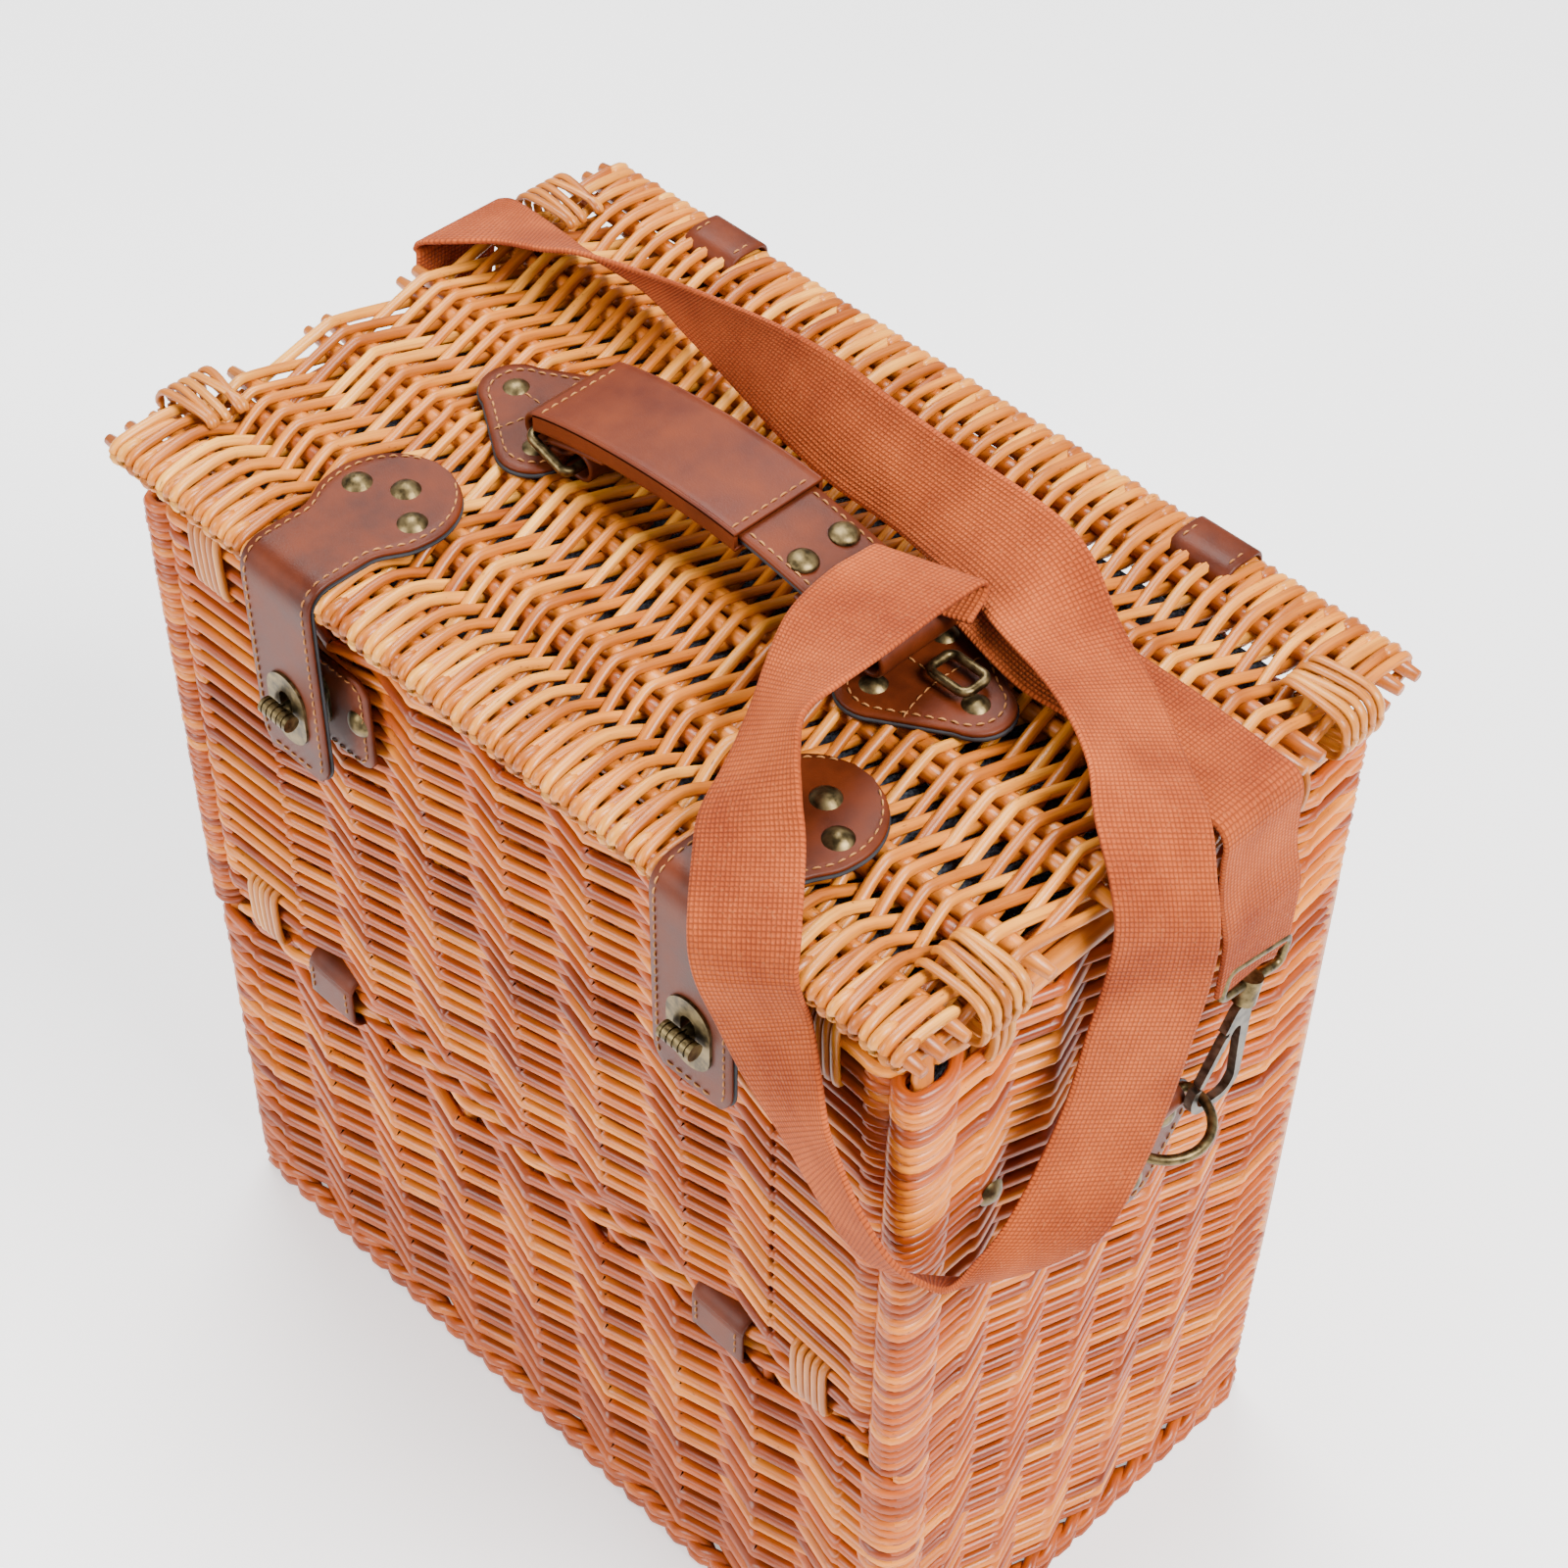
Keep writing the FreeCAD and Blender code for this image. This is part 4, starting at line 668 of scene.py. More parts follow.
def side_and_back_walls():
    """Rows wound from the right front post round the back to the left front post."""
    stakes, normals = u_stakes()
    sill = FRONT_HIGH[2] + 8.0
    low, high = ROW_LOW, RIGHT_HIGH[2] - 4.0
    rows = int((high - low) / ROW_PITCH)
    lots = [Strands(), Strands(), Strands()]
    for r in range(rows):
        z = low + (r + 0.5) * (high - low) / rows
        mid = stake_row(stakes, normals, BULGE, r)
        bends = []
        for i, place in enumerate(mid):
            bends.append(place)
            corner = [np.array([WALL_X + out, WALL_Y + rear, 0])
                      for out, rear in ((3, -4), (1.5, 1.5), (-4, 3))]
            if i == 11:
                bends += corner
            if i == 29:
                bends += [p * (-1, 1, 1) for p in corner[::-1]]
        wrap = [(WALL_X + 4.5, POST_Y + 8, 0), (WALL_X + 5.6, POST_Y, 0)]
        if z > sill:
            wrap = wrap + [(WALL_X + 3.5, POST_Y - 7.0, 0), (WALL_X - 2, POST_Y - 7.6, 0),
                           (WALL_X - 5.6, POST_Y - 3, 0), (WALL_X - 5.0, POST_Y + 3, 0)]
        else:
            wrap = wrap + [(WALL_X + 3.0, POST_Y - 4.0, 0)]
        start = [np.array(p, float) for p in wrap[::-1]]
        end = [np.array((-p[0], p[1], 0), float) for p in wrap]
        dense = smooth(uneven(np.array(start + bends + end), z, 12, 0.35), 3)
        cut_a = 3 * (len(start) + 12)
        cut_b = 3 * (len(start) + 33)
        radius = ROW_R * RNG.uniform(0.9, 1.12)
        parts = (dense[:cut_a + 4], dense[cut_a + 2:cut_b + 4], dense[cut_b + 2:])
        for lot, part in zip(lots, parts):
            lot.tube(part, radius, 7, tone=RNG.uniform(0, 1))
    for lot, wall in zip(lots, ("right_wall", "back_wall", "left_wall")):
        piece(lot, wall + "_weave", WALL_WILLOW_PAINTED_SHADE, "base", wall)
    posts = Strands()
    for place, _ in zip(stakes, normals):
        posts.tube([(place[0], place[1], z) for z in (STAKE_FOOT, 100, 200, 300, high + 4)], 3.0, 8,
                   ref=ALONG_X)
    for x in (-WALL_X, WALL_X):
        for y in (POST_Y, WALL_Y):
            top = RIM_HIGH[2] if y < 0 else high + 6
            posts.tube([(x, y, z) for z in (STAKE_FOOT, 100, 200, 300, top)], 5.0, 10, ref=ALONG_X)
    piece(posts, "wall_stakes", ROD_WILLOW, "base", "corner_posts")


def front_lower_wall():
    """Thicker rows across the front, below the sill, turned round both corners."""
    wall = Strands()
    xs = np.linspace(-158.0, 158.0, 9)
    stakes = [(x, -WALL_Y, 0) for x in xs]
    normals = [(0, -1, 0)] * len(xs)
    low, high = ROW_LOW, FRONT_HIGH[2]
    rows = int((high - low) / LOW_ROW_PITCH)
    for r in range(rows):
        z = low + (r + 0.5) * (high - low) / rows
        mid = stake_row(stakes, normals, BULGE + 0.4, r)
        side = 1 if r % 2 else -1
        turn = [(WALL_X - 5, -WALL_Y - 4.4, 0), (WALL_X + 3.0, -WALL_Y - 2.5, 0),
                (WALL_X + 6.2, -WALL_Y + 5, 0), (WALL_X + 3.0, -WALL_Y + 12 + side * 2, 0)]
        path = uneven(front_row(mid, turn), z, 8, 0.4)
        wall.tube(smooth(path, 3), LOW_ROW_R * RNG.uniform(0.9, 1.08), 7)
    for x in xs:
        wall.tube([(x, -WALL_Y, z) for z in (STAKE_FOOT, 60, 120, high + 2)], 3.4, 8, ref=ALONG_X)
    piece(wall, "front_lower_weave", WALL_WILLOW_PAINTED_SHADE, "base", "front_lower_wall")


def front_panel():
    """Rows between the two edge rods of the drop-down panel, wrapped round both."""
    panel = Strands()
    edge = FRAME_HIGH[0] - 4.5
    xs = np.linspace(-edge + 41.0, edge - 41.0, 7)
    stakes = [(x, -WALL_Y, 0) for x in xs]
    normals = [(0, -1, 0)] * len(xs)
    low, high = PANEL_LOW[2] + 1.5, PANEL_HIGH[2] - 1.0
    rows = int((high - low) / PANEL_PITCH)
    for r in range(rows):
        z = low + (r + 0.5) * (high - low) / rows
        mid = stake_row(stakes, normals, BULGE, r)
        side = 1 if r % 2 else -1
        turn = [(edge - 7, -WALL_Y - 5.4 * side, 0), (edge + 0.5, -WALL_Y - 5.9 * side, 0),
                (edge + 5.6, -WALL_Y - 2.0 * side, 0), (edge + 4.0, -WALL_Y + 4.0 * side, 0),
                (edge - 3, -WALL_Y + 5.6 * side, 0)]
        path = uneven(front_row(mid, turn), z, 8, 0.3)
        panel.tube(smooth(path, 3), ROW_R * RNG.uniform(0.9, 1.1), 7)
    for x in xs:
        panel.tube([(x, -WALL_Y, z) for z in (low, (low + high) / 2, high)], 3.0, 8, ref=ALONG_X)
    piece(panel, "front_panel_weave", WALL_WILLOW_PAINTED_SHADE, "front_panel", "panel_weave")

    frame_rods = Strands()
    y = (FRAME_LOW[1] + FRAME_HIGH[1]) / 2
    for z in (FRAME_LOW[2] + 5.0, FRAME_HIGH[2] - 4.5):
        twist(frame_rods, [(x, y, z) for x in np.linspace(-edge - 2, edge + 2, 60)], 2.6, 2.0, 40.0)
    for x in (-edge, edge):
        zs = (FRAME_LOW[2] + 1, 280, FRAME_HIGH[2] - 1)
        frame_rods.tube([(x, -WALL_Y, z) for z in zs], 3.4, 9, ref=ALONG_X)
    piece(frame_rods, "front_panel_rods", WALL_WILLOW_PAINTED_SHADE, "front_panel", "panel_frame_rods")

    skein = Strands()
    low, high = span("panel_lashings")
    for side in SIDES:
        for z in (low[2] + 6.0, high[2] - 9.0):
            for t in range(5):
                x = side * (edge - 20) + (t - 2) * 3.3
                loop = [(x, -WALL_Y - 3, z - 14), (x + 0.5, -WALL_Y - 7.4, z - 12),
                        (x, -WALL_Y - 8.2, z), (x - 0.5, -WALL_Y - 7.4, z + 12),
                        (x, -WALL_Y - 3, z + 14)]
                skein.tube(smooth(loop, 4), 1.6, 7, ref=ALONG_X, tone=RNG.uniform(0.2, 0.9))
    piece(skein, "front_panel_bindings", SKEIN_WILLOW, "front_panel", "panel_lashings")


def twist(strands, path, radius, offset, pitch, count=2):
    """Rods twisted round each other along a path."""
    path = np.asarray(path, float)
    run = lengths(path)
    heading = headings(path)
    side = np.cross(heading, np.array(UP))
    side /= np.linalg.norm(side, axis=1)[:, None] + 1e-9
    lift = np.cross(side, heading)
    for c in range(count):
        angle = run * 2 * math.pi / pitch + c * 2 * math.pi / count
        shift = np.cos(angle)[:, None] * side + np.sin(angle)[:, None] * lift
        strands.tube(path + shift * offset, radius, 8)


def rounded(half_u, half_v, radius, count, start=0):
    """Outline of a rectangle with rounded corners, from the corner at the start angle."""
    points = []
    for k in range(4):
        angle = start + 90 * k
        middle = math.radians(angle + 45)
        u = math.copysign(half_u - radius, math.cos(middle))
        v = math.copysign(half_v - radius, math.sin(middle))
        points += arc(u, v, radius, angle, angle + 90, count)
    return points


def borders():
    """Base border, side rims, rear rim rod, sill and the bindings round them."""
    base = Strands()
    low, high = span("base_border")
    x, y = high[0] - 4.0, high[1] - 4.0
    r = 9.0
    ring = rounded(x, y, r, 7, -90)
    ring = np.array([(u, v, 0) for u, v in ring + ring[:1]])
    step = lengths(ring)
    at = np.linspace(0, step[-1], 260)
    loop = np.stack([np.interp(at, step, ring[:, k]) for k in range(3)], 1)
    for z in (3.6, 9.5):
        twist(base, loop + np.array([0, 0, z]), 2.5, 1.9, 24.0)
    piece(base, "base_twisted_border", WALL_WILLOW_PAINTED_SHADE, "base", "base_border")

    floor = Strands()
    low, high = span("base_panel")
    lines = int((high[1] - low[1]) / 6.4)
    for k in range(lines):
        yy = low[1] + 3.4 + k * (high[1] - low[1] - 6.8) / (lines - 1)
        path = []
        for s, xx in enumerate(np.linspace(low[0] + 2, high[0] - 2, 15)):
            path.append((xx, yy, 4.6 + (1.3 if (s + k) % 2 else -1.3)))
        floor.tube(smooth(path, 3), 3.1, 7)
    piece(floor, "base_woven_floor", ROD_WILLOW, "base", "base_panel")

    rims = Strands()
    z = (RIM_LOW[2] + RIM_HIGH[2]) / 2
    for side in SIDES:
        for dx, dz in ((6.5, -0.5), (-1.5, 1.0), (2.5, -6.0)):
            path = [(side * (WALL_X - 4 + dx), yy, z + dz) for yy in np.linspace(-98, 99, 20)]
            rims.tube(path, 3.9, 9)
    back = [(xx, 105.0, z) for xx in np.linspace(-171, 171, 20)]
    rims.tube(back, 4.3, 10)
    piece(rims, "rim_willow_rods", ROD_WILLOW, "base", "rim_rods")

    skein = Strands()
    for side in SIDES:
        for yy in (-75.0, 60.0):
            for t in range(3):
                y0 = yy + (t - 1) * 3.4
                xo, xi = side * (WALL_X + 7.4), side * (WALL_X - 9.0)
                loop = [(xi, y0, z - 8), (xi, y0, z + 3), ((xo + xi) / 2, y0, z + 5.2),
                        (xo, y0, z + 2), (xo + side * 0.4, y0, z - 8), (xo - side * 1.5, y0, z - 15)]
                skein.tube(smooth(loop, 4), 2.0, 7, ref=(0, 1, 0), flat=0.6)
    piece(skein, "rim_bindings", SKEIN_WILLOW, "base")

    sill = Strands()
    zs = (SILL_LOW[2] + SILL_HIGH[2]) / 2
    ys = (SILL_LOW[1] + SILL_HIGH[1]) / 2
    xs = np.linspace(SILL_LOW[0], SILL_HIGH[0], 70)
    twist(sill, [(xx, ys, zs) for xx in xs], 2.5, 1.7, 34.0)
    piece(sill, "sill_twisted_rod", WALL_WILLOW_PAINTED_SHADE, "base", "sill_rod")


# ------------------------------------------------------------- leather and straps
LOCK_X = (-91.0, 102.0)
REAR_LOOP_X = (-119.0, 109.0)
FRONT_LOOP_X = (-108.0, 101.0)
SLOT_Z = 348.0
STRAP_HALF = 17.5
HEAD_Y = -72.0
HEAD_R = 24.5
LOBE_R = 13.0
GRIP_Y = -3.0
BEND_Y = -108.0
FLAP_LOW = 322.0
FOLD_Y = -107.0
FOLD_Z = 397.0


def head_width(y):
    """Half width of the pear-shaped closure strap at a distance along the lid."""
    if y > HEAD_Y - 6.0:
        inside = max(HEAD_R ** 2 - (y - HEAD_Y) ** 2, 0.3)
        return math.sqrt(inside) if y > HEAD_Y else max(math.sqrt(inside), STRAP_HALF)
    start = math.sqrt(HEAD_R ** 2 - 36.0)
    return start + (STRAP_HALF - start) * ease((HEAD_Y - 6.0 - y) / 16.0)


def closure_path(x):
    """Centre line and half widths of a closure strap, from its head to its lower end."""
    line, half = [], []
    flat_z = LID_TOP + 0.3
    for y in np.linspace(HEAD_Y + HEAD_R - 0.4, BEND_Y, 26):
        line.append((x, y, flat_z))
        half.append(head_width(y))
    reach = 9.4
    for a in np.linspace(8, 90, 10):
        c, t = math.cos(math.radians(a)), math.sin(math.radians(a))
        line.append((x, BEND_Y - reach * t ** 0.7, flat_z - reach * (1 - c ** 0.7)))
        half.append(STRAP_HALF)
    for z in np.linspace(394.0, FLAP_LOW, 25):
        line.append((x, BEND_Y - reach, z))
        rise = (9.0 - (z - FLAP_LOW)) / 9.0
        taper = math.sqrt(max(1 - max(rise, 0.0) ** 2 * 0.42, 0.1))
        half.append(STRAP_HALF * taper)
    return np.array(line), np.array(half)


def closure_piece(x, body):
    """Two-layer closure strap over the lid's front edge, stitched all round."""
    line, half = closure_path(x)
    across = np.array(ALONG_X)
    run = lengths(line)
    at_slot = np.interp(-SLOT_Z, -line[-24:, 2], run[-24:])
    slot = (3.6, at_slot - 8.6, at_slot + 8.6)
    top = Strands()
    out = np.cross(headings(line), across)
    top.strip(line + out * 1.05, across, half, 1.9, hole=slot, columns=10)
    backing = Strands()
    backing.strip(line + out * 0.1, across, half + 0.5, 1.0, hole=slot, columns=10)
    thread = Strands()
    for side in SIDES:
        inset = np.maximum(half - 2.8, 0.5)
        lane = line + out * 3.05 - across * (inset * side)[:, None]
        thread.stitches(lane[1:-1], out[1:-1])
    foot = np.linspace(-1, 1, 12)[:, None] * (half[-1] - 2.8) * across
    foot = foot + line[-2] + out[-2] * 3.05
    thread.stitches(foot, out[-2])
    made = [top.make("closure_leather_" + body, TAN_LEATHER),
            backing.make("closure_backing_" + body, DARK_LEATHER),
            thread.make("closure_stitching_" + body, THREAD)]
    for obj in made:
        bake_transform(obj, "lid", body, (x * MM, -0.112, 0.4095), (x * MM, -0.121, 0.396))
        bend_weights(obj, fold_share)
    return made


def fold_share(place):
    """How far a point of a closure strap follows its hanging part."""
    if place.y > FOLD_Y:
        return 0.0
    if place.z < FOLD_Z:
        return 1.0
    angle = math.degrees(math.atan2(FOLD_Y - place.y, max(place.z - FOLD_Z, 0.01)))
    return min(max((angle - 5.0) / 80.0, 0.0), 1.0)


def closures():
    """Both closure straps in place of their CAD leather."""
    left = closure_piece(LOCK_X[0], "flap_left")
    right = closure_piece(LOCK_X[1], "flap_right")
    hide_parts("closure_flap_left", "closure_straps")
    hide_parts("closure_flap_right", "closure_straps")


def scallop(side):
    """Outline of a handle patch: one lobe outward, two inward, a waist between."""
    points = []
    for x, y, start, end in ((106.0, 0.0, -78, 78), (79.0, 16.0, 62, 205),
                             (79.0, -16.0, 155, 298)):
        points += [(side * u, v) for u, v in arc(x, y, LOBE_R, start, end, 12)]
    return np.array(points[::side])


def handle_patches():
    """Scalloped leather patches on the lid with their rolled tabs."""
    top, backing, thread = Strands(), Strands(), Strands()
    centre_y = GRIP_Y
    for side in SIDES:
        outline = scallop(side)
        heart = outline.mean(0)
        back = heart + (outline - heart) * 1.02
        at = (0.0, centre_y, LID_TOP + 0.2)
        backing.plate(back, at, (1, 0, 0), (0, 1, 0), 1.3)
        top.plate(outline, (0.0, centre_y, LID_TOP + 1.3), (1, 0, 0), (0, 1, 0), 1.7)
        lane = heart + (outline - heart) * 0.86
        lane = np.concatenate([lane, lane[:1]])
        lift = np.full((len(lane), 1), LID_TOP + 3.25)
        lane = np.concatenate([lane + np.array([0, centre_y]), lift], 1)
        thread.stitches(lane, (0, 0, 1))
        bow = [(side * (91.0 + 3.5 * (v / 20.0) ** 2), centre_y + v, LID_TOP + 3.15)
               for v in np.linspace(-20.0, 20.0, 12)]
        thread.stitches(bow, (0, 0, 1), 3.2, 1.0, 0.3)
        spine = [(side * x, centre_y, LID_TOP + 3.15) for x in np.linspace(73.0, 114.0, 8)]
        thread.stitches(spine, (0, 0, 1), 3.2, 1.0, 0.3)
        roll = [(72.0, LID_TOP + 1.0), (64.0, LID_TOP + 1.2)]
        for a in np.linspace(-90, 150, 14):
            turn = math.radians(a)
            roll.append((58.0 - 4.2 * math.cos(turn), 411.8 + 4.4 * math.sin(turn)))
        roll += [(66.0, LID_TOP + 5.0), (72.0, LID_TOP + 3.4)]
        roll = smooth([(side * x, centre_y, z) for x, z in roll], 2)
        half = np.full(len(roll), 14.5)
        half[-2:] = (14.25, 14.0)
        top.strip(roll, (0, side, 0), half, 1.8)
        bar = [(side * 68.5, centre_y + t, LID_TOP + 6.2) for t in np.linspace(-11, 11, 10)]
        thread.stitches(bar, (0, 0, 1))
    piece(top, "handle_patch_leather", TAN_LEATHER, "lid", "handle_patches")
    piece(backing, "handle_patch_backing", DARK_LEATHER, "lid")
    piece(thread, "handle_patch_stitching", THREAD, "lid")


def arch(x):
    """Height of the handle strap's upper face at a distance from its crown."""
    fullness = 1.6 if x > 0 else 0.8
    return 422.6 + 9.9 * (1.0 - (x / 76.0) ** 2) ** fullness


def dome(strands, place, normal, radius=5.2, height=2.6):
    """Domed head of a rivet."""
    place, normal = np.asarray(place, float), np.asarray(normal, float)
    profile = ((-0.6, 1.0), (0.0, 1.0), (0.16, 1.0), (0.45, 0.9), (0.75, 0.66), (0.94, 0.36),
               (1.0, 0.05))
    path = [place + normal * height * lift for lift, _ in profile]
    strands.tube(path, [radius * wide for _, wide in profile], 20, ref=(0, 1, 0))


def handle():
    """Two-layer flat handle of leather with a sleeve round its middle and left part."""
    strap, backing, thread, sleeve = Strands(), Strands(), Strands(), Strands()
    half, centre_y = 17.0, GRIP_Y
    turned = [(x, centre_y, z) for x, z in arc(76.0, 418.0, 4.6, 80, -150, 12)]
    tail = [(68.0, centre_y, 417.6), (56.0, centre_y, 421.0), (44.0, centre_y, 423.6)]
    right_end = turned + tail
    left_end = [(-p[0], p[1], p[2]) for p in right_end]
    top = [(x, centre_y, arch(x)) for x in np.linspace(-72.0, 72.0, 37)]
    line = smooth(left_end[::-1] + top + right_end, 2)
    under_face = np.cross(headings(line), ALONG_Y) * 0.4
    strap.strip(line - under_face, ALONG_Y, half, 2.2, columns=10)
    under = np.array([(x, centre_y, arch(x) - 2.4) for x in np.linspace(-70.0, 70.0, 41)])
    backing.strip(under, ALONG_Y, half - 0.6, 1.7)
    for edge in SIDES:
        lane = np.array([(x, centre_y + edge * (half - 3.0), arch(x) + 2.0)
                         for x in np.linspace(21.5, 71.0, 30)])
        thread.stitches(lane, (0, 0, 1))
    cuff_x = np.linspace(-74.5, 20.0, 50)
    faces = ((arch, 2.1, 19.6, 1.8), (arch, -3.9, 19.4, 1.5))
    for rule, lift, width, thick in faces:
        cuff = np.array([(x, centre_y, rule(x) + lift) for x in cuff_x])
        sleeve.strip(cuff, ALONG_Y, width, thick, columns=14)
    for edge in SIDES:
        wall = np.array([(x, centre_y + edge * 17.9, arch(x) + 0.2) for x in cuff_x])
        sleeve.strip(wall, (0, 0, -edge), 3.9, 1.7, columns=6)
    for x in (-71.5, 17.6):
        lane = [(x, centre_y + v, arch(x) + 4.0) for v in np.linspace(-18.0, 18.0, 10)]
        thread.stitches(lane, (0, 0, 1), length=3.0, gap=1.2, radius=0.36)
    made = [strap.make("grip_leather", TAN_LEATHER), backing.make("grip_backing", DARK_LEATHER),
            thread.make("grip_stitching", THREAD), sleeve.make("grip_sleeve", SLEEVE_LEATHER)]
    for obj in made:
        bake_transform(obj, "handle_left_half", "handle_right_half", (-0.014, -0.003, 0.43),
                 (0.014, -0.003, 0.43))
    rivets = Strands()
    for y in (-12.0, 6.0):
        dome(rivets, (40.0, y, arch(40.0) + 1.9), (0.13, 0.0, 0.99))
    piece(rivets, "grip_rivets", BRASS, "handle_right_half", "handle_end_rivets")
    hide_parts("handle_strap_right", "handle_strap_left")
    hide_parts("handle_sleeve_right", "handle_sleeve_left")


def hinge_loops():
    """Leather loops that hinge the lid at the rear and the panel at the front."""
    rear, front = Strands(), Strands()
    rear_thread, front_thread = Strands(), Strands()
    thick, half, rod_r = 1.9, 12.4, 6.5
    low, high = span("rear_hinge_loops")
    near, far, top = low[1] + thick, high[1] - thick, high[2] - thick
    heart_y, heart_z = low[1] + rod_r, low[2] + rod_r
    for x in REAR_LOOP_X:
        loop = [(x, near, heart_z + 12.0), (x, near, heart_z + 4.0)]
        loop += arc_yz(x, heart_y, heart_z, rod_r - thick, 180.0, 350.0, 12)
        loop += [(x, heart_y + 7.0, heart_z + 6.0), (x, far, heart_z + 11.0), (x, far, top - 3.5)]
        loop += [(x, far - 1.0, top - 1.0), (x, far - 3.5, top), (x, near + 3.5, top)]
        loop += [(x, near, top - 3.0), (x, near, heart_z + 12.0)]
        rear.strip(smooth(loop, 3), ALONG_X, half, thick)
        for edge in (-9.6, 9.6):
            lane = [(x + edge, y, high[2] + 0.2) for y in np.linspace(near + 3, far - 3, 6)]
            rear_thread.stitches(lane, (0, 0, 1))
    low, high = span("front_hinge_loops")
    heart_y = (low[1] + high[1]) / 2
    reach = (high[1] - low[1]) / 2 - thick
    for x in FRONT_LOOP_X:
        loop = [(x, heart_y + reach, (low[2] + high[2]) / 2)]
        loop += arc_yz(x, heart_y, high[2] - thick - reach, reach, 0.0, 180.0, 12)
        loop += arc_yz(x, heart_y, low[2] + thick + reach, reach, 180.0, 360.0, 12)
        loop += loop[:1]
        front.strip(smooth(loop, 3), ALONG_X, half, thick + 0.2)
        for edge in (-9.6, 9.6):
            lane = [(x + edge, low[1] - 0.35, z) for z in np.linspace(high[2] - 6, low[2] + 6, 8)]
            front_thread.stitches(lane, (0, -1, 0))
    piece(rear, "rear_hinge_leather", TAN_LEATHER, "lid", "rear_hinge_loops")
    piece(rear_thread, "rear_hinge_stitching", THREAD, "lid")
    piece(front, "front_hinge_leather", TAN_LEATHER, "front_panel", "front_hinge_loops")
    piece(front_thread, "front_hinge_stitching", THREAD, "front_panel")


def arc_yz(x, y, z, radius, start, end, count):
    """Points on an arc in an upright plane across the hamper; 0 degrees is to the rear."""
    return [(x, v, w) for v, w in arc(y, z, radius, start, end, count)]


def tab_outline():
    """Shield with two upper lobes, one lower lobe and a neck, seen from outside."""
    points = []
    for u, v, start, end in ((14.0, 261.0, -31.3, 96.6), (-14.0, 261.0, 83.4, 211.3),
                             (0.0, 238.0, 211.3, 328.7)):
        points += arc(u, v, LOBE_R, start, end, 12)
        if u > 0:
            points += [(12.5, 277.5), (-12.5, 277.5)]
    return np.array(points)


def side_tabs():
    """Riveted leather tabs on the side walls, rolled over the bars of the D rings."""
    top, backing, thread = Strands(), Strands(), Strands()
    low, high = span("side_ring_tabs")
    ring_y = (low[1] + high[1]) / 2
    face, bar_x, bar_z = high[0] - 10.6, high[0] - 4.6, high[2] - 4.6
    outline = tab_outline()
    heart = outline.mean(0)
    for side in SIDES:
        u_dir = (0, side, 0)
        edge = heart + (outline - heart) * 1.02
        backing.plate(edge, (side * (face + 0.05), ring_y, 0), u_dir, UP, 1.0)
        top.plate(outline, (side * (face + 1.0), ring_y, 0), u_dir, UP, 1.35)
        lane = heart + (outline - heart) * 0.88
        lane = np.concatenate([lane, lane[:1]])
        lane = [(side * (face + 2.5), ring_y + side * u, v) for u, v in lane]
        thread.stitches(lane, (side, 0, 0))
        roll = [(face + 1.4, bar_z - 12.0), (face + 1.5, bar_z - 5.0), (face + 2.0, bar_z + 0.5)]
        roll += arc(bar_x, bar_z, 2.9, 140, -60, 12)
        roll += [(face + 4.6, bar_z - 6.0), (face + 3.0, bar_z - 9.5)]
        roll = smooth([(side * x, ring_y, z) for x, z in roll], 3)
        top.strip(roll, (0, side, 0), 12.0, 1.7)
        bar = [(side * (face + 5.6), ring_y + v, bar_z - 8.0) for v in np.linspace(-9.5, 9.5, 8)]
        thread.stitches(bar, (side, 0, 0))
    piece(top, "side_tab_leather", TAN_LEATHER, "base", "side_ring_tabs")
    piece(backing, "side_tab_backing", DARK_LEATHER, "base")
    piece(thread, "side_tab_stitching", THREAD, "base")


